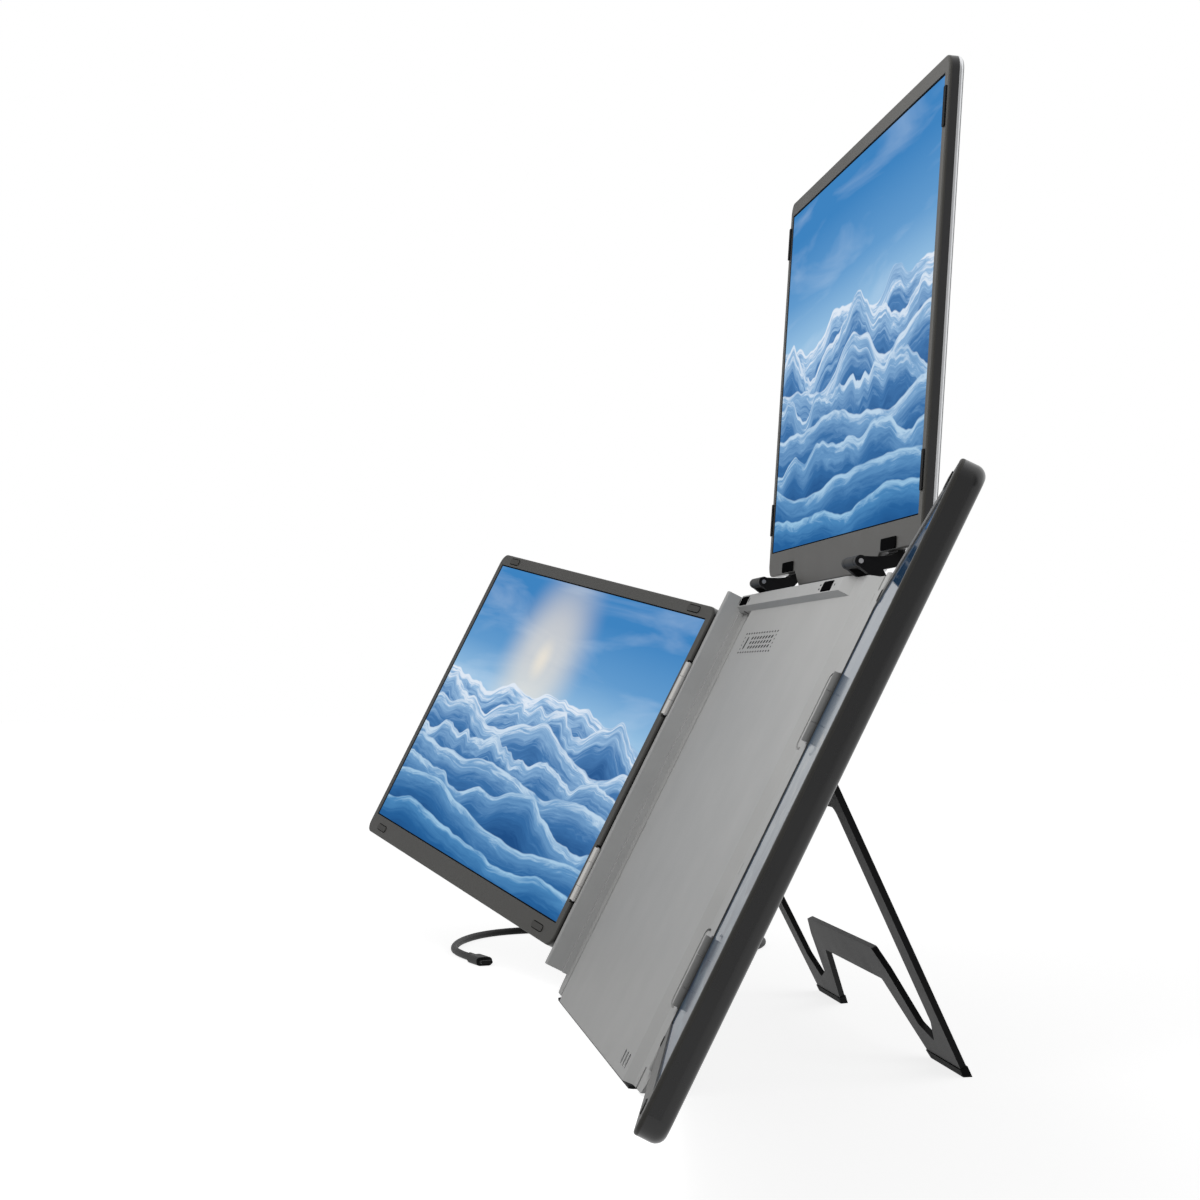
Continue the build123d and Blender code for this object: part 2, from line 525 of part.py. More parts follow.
def wing_plane(side):
    """A wing's face, with its origin at the lower left corner."""
    away, facing = wing_directions(side)
    edge = (at(side * HINGE_X, WING_BOTTOM, AXIS_LEVEL[side]) + away * WING_GAP
            + facing * FACE_ABOVE_AXIS[side])
    if side == LEFT:
        return Plane(origin=edge + away * SCREEN_WIDTH, x_dir=-away, z_dir=facing)
    return Plane(origin=edge, x_dir=away, z_dir=facing)


TOP_TILT = radians(TOP_OPEN)
TOP_RISE = UP * cos(TOP_TILT) + FRONT * sin(TOP_TILT)
TOP_FACING = FRONT * cos(TOP_TILT) - UP * sin(TOP_TILT)
TOP_AXIS = at(0, TOP_AXIS_U, TOP_AXIS_LEVEL)
TOP_PLANE = Plane(
    origin=TOP_AXIS + TOP_RISE * TOP_REACH + TOP_FACING * TOP_FACE_OFFSET
    - ACROSS * (SCREEN_WIDTH / 2),
    x_dir=ACROSS, z_dir=TOP_FACING)
SCREEN_CENTRE = (SCREEN_WIDTH / 2, SCREEN_HEIGHT / 2)
ACTIVE_CENTRE = (SCREEN_WIDTH / 2, BOTTOM_BEZEL + ACTIVE_HEIGHT / 2)
LCD_BACK = -BEZEL_DEPTH - LCD_DEPTH
BOARD_HOLDERS = (SCREEN_WIDTH / 2 - 100, SCREEN_WIDTH / 2, SCREEN_WIDTH / 2 + 100)
LCD_PADS = [(x, y) for x in (60, SCREEN_WIDTH / 2, SCREEN_WIDTH - 60)
            for y in (SCREEN_HEIGHT / 2 - 41, SCREEN_HEIGHT / 2 + 41)]


def screen_slab(plane, z_span, chin):
    """The outline shared by a screen's bezel and shell."""
    rounded_slab(plane, SCREEN_CENTRE, (SCREEN_WIDTH, SCREEN_HEIGHT), SCREEN_CORNER, z_span)
    if chin:
        middle = SCREEN_WIDTH / 2
        prism(plane.offset(z_span[0]),
              [(middle - CHIN_TOP_HALF, 0), (middle - CHIN_BOTTOM_HALF, -CHIN_DROP),
               (middle + CHIN_BOTTOM_HALF, -CHIN_DROP), (middle + CHIN_TOP_HALF, 0),
               (middle + CHIN_TOP_HALF, 1), (middle - CHIN_TOP_HALF, 1)],
              z_span[1] - z_span[0])


def edge_span(side, near, far):
    """Two insets from a wing's hinge edge, as values along its plane."""
    if side == LEFT:
        return SCREEN_WIDTH - far, SCREEN_WIDTH - near
    return near, far


def notch_span(height):
    half = BARREL_LENGTH / 2 + NOTCH_END_GAP
    return height - half, height + half


def make_screen(name, plane, side):
    """A screen's own pieces; side is None for the top screen."""
    is_top = side is None
    depth = TOP_SCREEN_DEPTH if is_top else SCREEN_DEPTH
    floor = -depth + SHELL_BACK
    with BuildPart() as bezel:
        screen_slab(plane, (-BEZEL_DEPTH, 0), is_top)
        front = bezel.faces().sort_by(Axis(plane.origin, plane.z_dir))[-1]
        fillet(front.edges(), BEZEL_ROUNDING)
        block(plane, (ACTIVE_CENTRE[0] - ACTIVE_WIDTH / 2, ACTIVE_CENTRE[0] + ACTIVE_WIDTH / 2),
              (BOTTOM_BEZEL, BOTTOM_BEZEL + ACTIVE_HEIGHT), (-BEZEL_DEPTH, 1), Mode.SUBTRACT)
        if not is_top:
            for height in HINGE_HEIGHTS[side]:
                block(plane, edge_span(side, -1, BARREL_NOTCH), notch_span(height),
                      (-BEZEL_DEPTH - 1, 1), Mode.SUBTRACT)
    finish(bezel, f"{name}_bezel")

    with BuildPart() as glass:
        half = ACTIVE_WIDTH / 2 - SNUG
        block(plane, (ACTIVE_CENTRE[0] - half, ACTIVE_CENTRE[0] + half),
              (BOTTOM_BEZEL + SNUG, BOTTOM_BEZEL + ACTIVE_HEIGHT - SNUG),
              (-BEZEL_DEPTH, -BEZEL_DEPTH + GLASS_DEPTH))
    finish(glass, f"{name}_display_glass")

    with BuildPart() as panel:
        half_width, half_height = ACTIVE_WIDTH / 2 + LCD_SIDE, ACTIVE_HEIGHT / 2 + LCD_RIM
        block(plane, (ACTIVE_CENTRE[0] - half_width, ACTIVE_CENTRE[0] + half_width),
              (ACTIVE_CENTRE[1] - half_height, ACTIVE_CENTRE[1] + half_height),
              (LCD_BACK, -BEZEL_DEPTH - SNUG))
    finish(panel, f"{name}_display_panel")

    with BuildPart() as shell:
        screen_slab(plane, (-depth, -BEZEL_DEPTH), is_top)
        back = shell.faces().sort_by(Axis(plane.origin, plane.z_dir))[0]
        fillet(back.edges(), TOP_SHELL_ROUNDING if is_top else SHELL_ROUNDING)
        rounded_slab(plane, SCREEN_CENTRE,
                     (SCREEN_WIDTH - 2 * SHELL_WALL, SCREEN_HEIGHT - 2 * SHELL_WALL),
                     SCREEN_CORNER - SHELL_WALL, (floor, -BEZEL_DEPTH), Mode.SUBTRACT)
        for x, y in LCD_PADS:
            rod(plane, (x, y), 4.0, (floor, LCD_BACK))
        for x in BOARD_HOLDERS:
            rod(plane, (x, 20), 3.0, (floor, floor + DRIVER_STANDOFF))
        if is_top:
            for arm in BODY_SIDES:
                x = SCREEN_WIDTH / 2 + arm * TOP_ARM_X
                half = TOP_ARM_WIDTH / 2 + SNUG
                block(plane, (x - half, x + half), (-1, SHELL_WALL + 1),
                      (TOP_ARM_FACE - TOP_ARM_DEPTH - SNUG, TOP_ARM_FACE + SNUG), Mode.SUBTRACT)
        else:
            for height in HINGE_HEIGHTS[side]:
                low, high = notch_span(height)
                block(plane, edge_span(side, NOTCH_WALL_INSET, BARREL_NOTCH + NOTCH_WALL),
                      (low - NOTCH_WALL, high + NOTCH_WALL), (floor, -BEZEL_DEPTH))
                block(plane, edge_span(side, -1, BARREL_NOTCH), (low, high),
                      (-depth - 1, -BEZEL_DEPTH + 1), Mode.SUBTRACT)
                half = MOVING_KNUCKLE / 2 + SNUG
                block(plane, edge_span(side, -1, BARREL_NOTCH + NOTCH_WALL + 1),
                      (height - half, height + half),
                      (TONGUE_LEVEL - SNUG, TONGUE_LEVEL + TONGUE_DEPTH + SNUG), Mode.SUBTRACT)
                for x in leaf_screw_places(side):
                    for step in (-5, 5):
                        rod(plane, (x, height + step), 2.4, (floor, TONGUE_LEVEL))
                        rod(plane, (x, height + step), SCREW_RADIUS + SNUG,
                            (floor - 0.4, TONGUE_LEVEL), Mode.SUBTRACT)
    finish(shell, f"{name}_rear_shell")

    with BuildPart() as driver:
        middle = SCREEN_WIDTH / 2
        base = floor + DRIVER_STANDOFF
        top = base + DRIVER_DEPTH
        block(plane, (middle - 120, middle + 120), (13, 27), (base, top))
        for x, width in ((middle - 60, 14), (middle + 10, 20), (middle + 78, 12)):
            block(plane, (x - width / 2, x + width / 2), (16, 24), (top, top + DRIVER_CHIP))
    finish(driver, f"{name}_driver_board")


def leaf_screw_places(side):
    """Screw centres along the plane, on the moving leaf inside the shell."""
    return [sum(edge_span(side, inset, inset)) / 2 for inset in (12.0, 20.0)]


WINGS = {"left": LEFT, "right": RIGHT_SIDE}
for wing_name, wing_side in WINGS.items():
    make_screen(wing_name, wing_plane(wing_side), wing_side)
make_screen("top", TOP_PLANE, None)

# Small rubber pads keep the folded wings apart.
PAD_LENGTH, PAD_HEIGHT, PAD_DEPTH = 18.0, 4.0, 0.5
for wing_name, wing_side in WINGS.items():
    with BuildPart() as pads:
        for x in (30.0, SCREEN_WIDTH - 30.0):
            for y in (7.0, SCREEN_HEIGHT - 4.4):
                rounded_slab(wing_plane(wing_side), (x, y), (PAD_LENGTH, PAD_HEIGHT), 1.5,
                             (0, PAD_DEPTH))
    finish(pads, f"{wing_name}_pads")

BUMPER_LENGTH, BUMPER_WIDTH, BUMPER_DEPTH = 20.0, 4.4, 0.8
with BuildPart() as top_bumpers:
    for x in (3.2, SCREEN_WIDTH - 3.2):
        for y in (36.0, SCREEN_HEIGHT - 26.0):
            rounded_slab(TOP_PLANE, (x, y), (BUMPER_WIDTH, BUMPER_LENGTH), 1.0,
                         (0, BUMPER_DEPTH))
finish(top_bumpers, "top_bumpers")

# ---- Wing hinges ------------------------------------------------------------------------
KNUCKLE_GAP = 0.2
FIXED_KNUCKLE = (BARREL_LENGTH - MOVING_KNUCKLE) / 2 - KNUCKLE_GAP
WEB_HALF = 1.9


def cross_section(side, u, length, away=None):
    """Across a hinge: x away from the body, y out of the face, and the span along u."""
    if away is None:
        away = ACROSS * side
    start = at(side * HINGE_X, u - length / 2, AXIS_LEVEL[side])
    if side == LEFT:
        return Plane(origin=start, x_dir=away, z_dir=UP)
    return Plane(origin=start + UP * length, x_dir=away, z_dir=-UP)


for wing_name, side in WINGS.items():
    level = AXIS_LEVEL[side]
    with BuildPart() as fixed_leaves:
        for height in HINGE_HEIGHTS[side]:
            middle_u = WING_BOTTOM + height
            leaf_plane = cross_section(side, middle_u, BARREL_LENGTH)
            leaf_back = SEAM_LEVEL - LEAF_DEPTH - level
            # The leaf stops short of the moving knuckle, which swings down past it.
            leaf_end = RAIL_INNER - HINGE_X
            prism(leaf_plane,
                  [(-LEAF_LENGTH, leaf_back), (leaf_end, leaf_back),
                   (leaf_end, leaf_back + LEAF_DEPTH), (-LEAF_LENGTH, leaf_back + LEAF_DEPTH)],
                  BARREL_LENGTH)
            for end in (-1, 1):
                knuckle_u = middle_u + end * (BARREL_LENGTH - FIXED_KNUCKLE) / 2
                knuckle_plane = cross_section(side, knuckle_u, FIXED_KNUCKLE)
                prism(knuckle_plane,
                      [(leaf_end - 1, leaf_back), (WEB_HALF, leaf_back), (WEB_HALF, 0),
                       (-WEB_HALF, 0), (-WEB_HALF, leaf_back + LEAF_DEPTH),
                       (leaf_end - 1, leaf_back + LEAF_DEPTH)], FIXED_KNUCKLE)
                rod(knuckle_plane, (0, 0), BARREL_RADIUS, (0, FIXED_KNUCKLE))
                rod(knuckle_plane, (0, 0), WING_PIN_RADIUS + SNUG, (-1, FIXED_KNUCKLE + 1),
                    Mode.SUBTRACT)
    finish(fixed_leaves, f"{wing_name}_fixed_leaves")

    away, facing = wing_directions(side)
    with BuildPart() as moving_leaves:
        for height in HINGE_HEIGHTS[side]:
            middle_u = WING_BOTTOM + height
            leaf_plane = cross_section(side, middle_u, MOVING_KNUCKLE, away)
            back = FACE_ABOVE_AXIS[side] + TONGUE_LEVEL
            prism(leaf_plane,
                  [(-WEB_HALF, 0), (-WEB_HALF, back), (WING_GAP + TONGUE_REACH, back),
                   (WING_GAP + TONGUE_REACH, back + TONGUE_DEPTH),
                   (WEB_HALF, back + TONGUE_DEPTH), (WEB_HALF, 0)], MOVING_KNUCKLE)
            rod(leaf_plane, (0, 0), BARREL_RADIUS, (0, MOVING_KNUCKLE))
            rod(leaf_plane, (0, 0), WING_PIN_RADIUS + SNUG, (-1, MOVING_KNUCKLE + 1),
                Mode.SUBTRACT)
            for x in leaf_screw_places(side):
                for step in (-5, 5):
                    rod(wing_plane(side), (x, height + step), SCREW_RADIUS + SNUG,
                        (TONGUE_LEVEL - 1, TONGUE_LEVEL + TONGUE_DEPTH + 1), Mode.SUBTRACT)
    finish(moving_leaves, f"{wing_name}_moving_leaves")

    with BuildPart() as leaf_screws:
        for height in HINGE_HEIGHTS[side]:
            for x in leaf_screw_places(side):
                for step in (-5, 5):
                    head = TONGUE_LEVEL + TONGUE_DEPTH
                    rod(wing_plane(side), (x, height + step), SCREW_HEAD_RADIUS,
                        (head, head + 0.5))
                    rod(wing_plane(side), (x, height + step), SCREW_RADIUS,
                        (-SCREEN_DEPTH + SHELL_BACK, head))
    finish(leaf_screws, f"{wing_name}_leaf_screws")

    with BuildPart() as hinge_pins:
        for height in HINGE_HEIGHTS[side]:
            pin_plane = cross_section(side, WING_BOTTOM + height, BARREL_LENGTH)
            rod(pin_plane, (0, 0), WING_PIN_RADIUS, (-PIN_PROUD, BARREL_LENGTH + PIN_PROUD))
    finish(hinge_pins, f"{wing_name}_hinge_pins")

# ---- Top screen hinge -------------------------------------------------------------------
def top_section(x):
    """Across the top hinge on its axis: x up the body's face, y out of it."""
    return Plane(origin=TOP_AXIS + ACROSS * x, x_dir=UP, z_dir=ACROSS)


def top_screen_section(x):
    """The same section turned with the screen: x up the screen, y out of it."""
    return Plane(origin=TOP_AXIS + ACROSS * x, x_dir=TOP_RISE, z_dir=ACROSS)


EAR_FRONT = -COVER_WALL - 2 * CLEARANCE     # the ears rise behind the front cover's skin
EAR_BACK = EAR_FRONT - 6.6
with BuildPart() as top_brackets:
    for side in BODY_SIDES:
        centre = side * TOP_ARM_X
        half = NOTCH_HALF - CLEARANCE
        block(FACE, (centre - half, centre + half), (NOTCH_FLOOR, NOTCH_FLOOR + BRACKET_RISE),
              (BACK_LEVEL + 0.4, EAR_FRONT))
        for end in BODY_SIDES:
            low = centre + end * (TOP_EAR_SPAN - TOP_EAR_WIDTH) / 2 - TOP_EAR_WIDTH / 2
            floor = NOTCH_FLOOR - TOP_AXIS_U + BRACKET_RISE / 2
            front, back = EAR_FRONT - TOP_AXIS_LEVEL, EAR_BACK - TOP_AXIS_LEVEL
            prism(top_section(low),
                  [(floor, back), (floor, front), (-TOP_AXIS_ABOVE + 0.5, front),
                   (-TOP_BARREL_RADIUS + 0.2, 0), (TOP_BARREL_RADIUS - 0.2, 0),
                   (TOP_BARREL_RADIUS + 0.4, front - 0.5), (-1, back)], TOP_EAR_WIDTH)
            rod(top_section(low), (0, 0), TOP_BARREL_RADIUS, (0, TOP_EAR_WIDTH))
            rod(top_section(low), (0, 0), TOP_PIN_RADIUS + SNUG, (-1, TOP_EAR_WIDTH + 1),
                Mode.SUBTRACT)
finish(top_brackets, "top_brackets")

with BuildPart() as top_arms:
    arm_front = TOP_FACE_OFFSET + TOP_ARM_FACE
    arm_back = arm_front - TOP_ARM_DEPTH
    for side in BODY_SIDES:
        low = side * TOP_ARM_X - TOP_ARM_WIDTH / 2
        prism(top_screen_section(low),
              [(-TOP_BARREL_RADIUS + 0.2, 0), (TOP_BARREL_RADIUS - 0.2, 0), (3.2, -10.0),
               (TOP_REACH - 2.5, arm_front + 3.0), (TOP_REACH - 0.6, arm_front),
               (TOP_REACH + 9.0, arm_front), (TOP_REACH + 9.0, arm_back),
               (TOP_REACH - 3.5, arm_back), (-1.5, arm_back + 4.0), (-3.3, -12.0)],
              TOP_ARM_WIDTH)
        rod(top_screen_section(low), (0, 0), TOP_BARREL_RADIUS, (0, TOP_ARM_WIDTH))
        rod(top_screen_section(low), (0, 0), TOP_PIN_RADIUS + SNUG, (-1, TOP_ARM_WIDTH + 1),
            Mode.SUBTRACT)
finish(top_arms, "top_arms")

with BuildPart() as top_hinge_pins:
    for side in BODY_SIDES:
        rod(top_section(side * TOP_ARM_X), (0, 0), TOP_PIN_RADIUS,
            (-TOP_EAR_SPAN / 2 - 0.5, TOP_EAR_SPAN / 2 + 0.5))
finish(top_hinge_pins, "top_hinge_pins")

with BuildPart() as top_arm_caps:
    for side in BODY_SIDES:
        x = SCREEN_WIDTH / 2 + side * TOP_ARM_X
        rounded_slab(TOP_PLANE, (x, CAP_HEIGHT / 2 + 0.8), (TOP_EAR_SPAN, CAP_HEIGHT), 1.2,
                     (0, CAP_DEPTH))
finish(top_arm_caps, "top_arm_caps")

# ---- Kickstand --------------------------------------------------------------------------
KICK_LEVEL = BACK_LEVEL - KICK_AXIS_BEHIND
KICK_AXIS = at(0, KICK_AXIS_U, KICK_LEVEL)
KICK_LEAN = radians(KICK_LEAN_ANGLE)
KICK_LENGTH = KICK_AXIS.Z / cos(KICK_LEAN)
KICK_FOOT_Y = KICK_AXIS.Y + KICK_LENGTH * sin(KICK_LEAN)
KICK_PLANE = Plane(origin=(0, KICK_FOOT_Y, 0), x_dir=ACROSS,
                   z_dir=(0, -cos(KICK_LEAN), -sin(KICK_LEAN)))
KICK_TOP_EDGE = KICK_LENGTH - 5.5
# The window in the plate's right half: beside the arch, round the foot, up the outer edge.
KICK_WINDOW = [(84, 60), (97, 49), (116, 21), (KICK_FOOT_OUTER - 34, 15),
               (KICK_FOOT_OUTER - 19, 28), (KICK_TOP_HALF - KICK_BAR_WIDTH, KICK_LENGTH - 21.5)]


def outer_edge(height):
    return KICK_FOOT_OUTER + (KICK_TOP_HALF - KICK_FOOT_OUTER) * height / KICK_LENGTH


def riser_edge(height):
    return KICK_FOOT_INNER + (KICK_BAR_LOW_HALF - KICK_FOOT_INNER) * height / KICK_BAR_LOW


def mirrored(points):
    return points + [(-x, y) for x, y in reversed(points)]


def kickstand_plate(mode=Mode.ADD):
    """The bent-wire outline of the stand's plate, trimmed above the rubber feet."""
    outline = mirrored([(KICK_BAR_LOW_HALF, KICK_BAR_LOW), (riser_edge(-KICK_BELOW), -KICK_BELOW),
                        (outer_edge(-KICK_BELOW), -KICK_BELOW),
                        (outer_edge(KICK_TOP_EDGE), KICK_TOP_EDGE)])
    with BuildSketch(KICK_PLANE) as plate:
        with BuildLine():
            Polyline(*outline, close=True)
        make_face()
        with BuildLine():
            Polyline(*mirrored(KICK_WINDOW), close=True)
        make_face(mode=Mode.SUBTRACT)
        fillet(plate.vertices().filter_by(lambda v: -KICK_BELOW < v.Y < KICK_TOP_EDGE - 1), KICK_BEND)
    return extrude(plate.sketch, amount=KICK_DEPTH / 2, both=True, mode=mode)


def kick_section(x):
    """Across the kickstand's hinge, on its axis."""
    return Plane(origin=KICK_AXIS + ACROSS * x, x_dir=UP, z_dir=ACROSS)


with BuildPart() as kickstand_frame:
    kickstand_plate()
    split(bisect_by=Plane(origin=(0, 0, KICK_SOCK_FLOOR)), keep=Keep.TOP)
    for side in BODY_SIDES:
        low = side * KICK_KNUCKLE_X - KICK_KNUCKLE_WIDTH / 2
        block(KICK_PLANE, (low, low + KICK_KNUCKLE_WIDTH), (KICK_TOP_EDGE - 8, KICK_LENGTH),
              (-KICK_DEPTH / 2, KICK_DEPTH / 2))
        rod(kick_section(low), (0, 0), KICK_BARREL_RADIUS, (0, KICK_KNUCKLE_WIDTH))
        rod(kick_section(low), (0, 0), KICK_PIN_RADIUS + SNUG, (-1, KICK_KNUCKLE_WIDTH + 1),
            Mode.SUBTRACT)
finish(kickstand_frame, "kickstand_frame")

with BuildPart() as kickstand_feet:
    for side in BODY_SIDES:
        with BuildSketch(KICK_PLANE) as sock:
            with BuildLine():
                Polyline(*[(side * x, y) for x, y in (
                    (riser_edge(KICK_SOCK_RISE) - KICK_SOCK_WALL, KICK_SOCK_RISE),
                    (riser_edge(-KICK_BELOW) - KICK_SOCK_WALL, -KICK_BELOW),
                    (outer_edge(-KICK_BELOW) + KICK_SOCK_WALL, -KICK_BELOW),
                    (outer_edge(KICK_SOCK_RISE) + KICK_SOCK_WALL, KICK_SOCK_RISE))], close=True)
            make_face()
        extrude(sock.sketch, amount=KICK_DEPTH / 2 + KICK_SOCK_WALL, both=True)
    add(kickstand_frame.part, mode=Mode.SUBTRACT)
    split(bisect_by=Plane.XY, keep=Keep.TOP)
finish(kickstand_feet, "kickstand_feet")

with BuildPart() as kickstand_lugs:
    for side in BODY_SIDES:
        for end in BODY_SIDES:
            offset = (KICK_KNUCKLE_WIDTH + KICK_LUG_WIDTH) / 2 + KNUCKLE_GAP
            low = side * KICK_KNUCKLE_X + end * offset - KICK_LUG_WIDTH / 2
            back = KICK_AXIS_BEHIND
            prism(kick_section(low),
                  [(-8, back), (8, back), (8, back - 1.1), (5, back - 1.1),
                   (KICK_BARREL_RADIUS, 0), (-KICK_BARREL_RADIUS, 0), (-5, back - 1.1),
                   (-8, back - 1.1)], KICK_LUG_WIDTH)
            rod(kick_section(low), (0, 0), KICK_BARREL_RADIUS, (0, KICK_LUG_WIDTH))
            rod(kick_section(low), (0, 0), KICK_PIN_RADIUS + SNUG, (-1, KICK_LUG_WIDTH + 1),
                Mode.SUBTRACT)
finish(kickstand_lugs, "kickstand_lugs")

with BuildPart() as kickstand_pins:
    for side in BODY_SIDES:
        half = KICK_KNUCKLE_WIDTH / 2 + KNUCKLE_GAP + KICK_LUG_WIDTH + 0.4
        rod(kick_section(side * KICK_KNUCKLE_X), (0, 0), KICK_PIN_RADIUS, (-half, half))
finish(kickstand_pins, "kickstand_pins")

# ---- Cable ------------------------------------------------------------------------------
PLUG_FACE_X = -HALF_BODY - 0.3
BODY_PLUG_PLANE = Plane(origin=at(PLUG_FACE_X, PORT_HEIGHTS[0], PORT_LEVEL), x_dir=UP,
                        z_dir=-ACROSS)
CABLE_START = BODY_PLUG_PLANE.origin - ACROSS * (PLUG_LENGTH + RELIEF_LENGTH)
CABLE_ROUTE = [
    CABLE_START, CABLE_START - ACROSS * 27,
    (-283, 56, 84), (-302, 64, 61), (-316, 75, 37), (-333, 92, 16),
    (-356, 116, 5.0), (-384, 145, 2.7), (-421, 168, 2.7), (-466, 174, 2.7), (-508, 160, 2.7),
    (-541, 128, 2.7), (-562, 87, 2.7), (-573, 43, 2.7), (-572, 2, 2.7), (-553, -24, 2.7),
    (-517, -42, 2.7), (-473, -52, 2.7), (-432, -53, 2.7), (-398, -45, 2.7),
]
LAPTOP_PLUG_HEADING = (Vector(CABLE_ROUTE[-1]) - Vector(CABLE_ROUTE[-2])).normalized()


def bend_radii(route):
    """Each arc is as large as the two runs beside it allow."""
    points = [Vector(point) for point in route]
    radii = []
    for before, here, after in zip(points, points[1:], points[2:]):
        turn = radians((here - before).get_angle(after - here))
        shorter = min((here - before).length, (after - here).length)
        radii.append(0.45 * shorter / tan(turn / 2))
    return radii


CABLE_RADII = bend_radii(CABLE_ROUTE)
print("cable bend radii", [round(radius) for radius in CABLE_RADII])
with BuildPart() as cable:
    with BuildLine() as cable_path:
        FilletPolyline(*CABLE_ROUTE, radius=CABLE_RADII)
    with BuildSketch(Plane(origin=cable_path.line @ 0, z_dir=cable_path.line % 0)):
        Circle(CABLE_RADIUS)
    sweep()
CABLE_LENGTH = sum(edge.length for edge in cable_path.line.edges())
print("cable tube length", round(CABLE_LENGTH, 1), "volume ratio",
      round(cable.part.volume / (3.141592654 * CABLE_RADIUS ** 2 * CABLE_LENGTH), 5))
finish(cable, "cable")


def make_plug(plane, nose):
    """An overmoulded plug: metal nose, body and tapered strain relief along the normal."""
    rounded_slab(plane, (0, 0), (PLUG_WIDTH, PLUG_DEPTH), 2.6, (0, PLUG_LENGTH))
    with BuildSketch(plane.offset(PLUG_LENGTH)) as wide:
        Circle(RELIEF_RADIUS - 0.5)
    with BuildSketch(plane.offset(PLUG_LENGTH + RELIEF_LENGTH)) as narrow:
        Circle(CABLE_RADIUS + 0.4)
    loft([wide.sketch, narrow.sketch])
    if nose:
        rounded_slab(plane, (0, 0), (PLUG_NOSE_WIDTH, PLUG_NOSE_DEPTH), 1.15,
                     (-PLUG_NOSE_LENGTH, 0))


with BuildPart() as body_plug:
    make_plug(BODY_PLUG_PLANE, True)
finish(body_plug, "body_plug")

LAPTOP_PLUG_END = Vector(CABLE_ROUTE[-1])
LAPTOP_PLUG_PLANE = Plane(
    origin=LAPTOP_PLUG_END + LAPTOP_PLUG_HEADING * (PLUG_LENGTH + RELIEF_LENGTH)
    + Vector(0, 0, PLUG_DEPTH / 2 - CABLE_ROUTE[-1][2]),
    x_dir=Vector(LAPTOP_PLUG_HEADING.Y, -LAPTOP_PLUG_HEADING.X, 0), z_dir=-LAPTOP_PLUG_HEADING)
with BuildPart() as laptop_plug:
    make_plug(LAPTOP_PLUG_PLANE, True)
finish(laptop_plug, "laptop_plug")

# ---- Joint values, for the record -------------------------------------------------------
print("top axis", TOP_AXIS)
print("kick axis", KICK_AXIS, "foot y", KICK_FOOT_Y, "length", KICK_LENGTH)
for side in BODY_SIDES:
    print("wing axis", side, at(side * HINGE_X, WING_BOTTOM, AXIS_LEVEL[side]))
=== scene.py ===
from math import cos, pi, radians, sin

import bmesh
import bpy
from mathutils import Matrix, Vector


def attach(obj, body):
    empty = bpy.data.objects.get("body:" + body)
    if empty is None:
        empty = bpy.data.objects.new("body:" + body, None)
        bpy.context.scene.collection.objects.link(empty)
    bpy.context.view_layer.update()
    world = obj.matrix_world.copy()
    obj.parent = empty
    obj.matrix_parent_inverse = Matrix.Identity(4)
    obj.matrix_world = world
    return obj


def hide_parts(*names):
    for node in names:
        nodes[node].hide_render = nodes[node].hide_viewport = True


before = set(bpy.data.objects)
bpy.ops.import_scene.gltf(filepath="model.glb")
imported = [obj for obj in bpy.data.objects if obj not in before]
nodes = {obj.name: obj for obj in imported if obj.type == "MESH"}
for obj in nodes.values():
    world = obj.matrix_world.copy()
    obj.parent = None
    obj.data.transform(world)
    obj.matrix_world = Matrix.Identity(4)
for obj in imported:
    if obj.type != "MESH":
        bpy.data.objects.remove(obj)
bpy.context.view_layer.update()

# ---- The part's own directions and sizes, in metres ----------------------------------------
MM = 0.001
LEAN = radians(62.4)                # body to table
BODY_HALF, BODY_DEPTH = 0.196, 0.012
FOOT_HEIGHT = 0.0016
SCREEN_WIDTH = 0.396
ACTIVE_WIDTH, ACTIVE_HEIGHT = 0.3819, 0.2148
BOTTOM_BEZEL = 0.0146
LEFT, RIGHT = -1, 1
OPEN = {LEFT: radians(17.2), RIGHT: radians(10.2)}      # wings, past the body's plane
HINGE_X = 0.203                     # wing hinge axes, from the body's middle
AXIS_LEVEL = {LEFT: 0.0125, RIGHT: 0.0009}
FACE_ABOVE_AXIS = {LEFT: 0.0003, RIGHT: -0.0003}
WING_BOTTOM = 0.0238
WING_GAP = 0.002                    # hinge axis to the wing's edge
TILT = radians(22.7)                # top screen to the body's plane
TOP_AXIS_U, TOP_AXIS_LEVEL = 0.280, 0.0061
TOP_REACH, TOP_FACE_BEHIND = 0.0069, 0.0173     # from the top hinge's axis

ACROSS = Vector((1, 0, 0))
UP = Vector((0, cos(LEAN), sin(LEAN)))
FRONT = Vector((0, -sin(LEAN), cos(LEAN)))
CORNER = Vector((0, -BODY_DEPTH / (2 * sin(LEAN)), FOOT_HEIGHT))


def at(x, u, level):
    """A point across the body, up its face and in front of its plateau, in metres."""
    return CORNER + ACROSS * x + UP * u + FRONT * level


class Face:
    """A flat face: origin at its lower left corner, x along its width, y up, z out of it."""

    def __init__(self, origin, x, z):
        self.origin, self.x, self.z = origin, x.normalized(), z.normalized()
        self.y = self.z.cross(self.x)

    def place(self, x=0.0, y=0.0, z=0.0):
        return self.origin + self.x * x + self.y * y + self.z * z


def wing_face(side):
    away = ACROSS * (side * cos(OPEN[side])) + FRONT * sin(OPEN[side])
    facing = ACROSS * (-side * sin(OPEN[side])) + FRONT * cos(OPEN[side])
    axis = at(side * HINGE_X, WING_BOTTOM, AXIS_LEVEL[side])
    edge = axis + away * WING_GAP + facing * FACE_ABOVE_AXIS[side]
    if side == LEFT:
        return Face(edge + away * SCREEN_WIDTH, -away, facing)
    return Face(edge, away, facing)


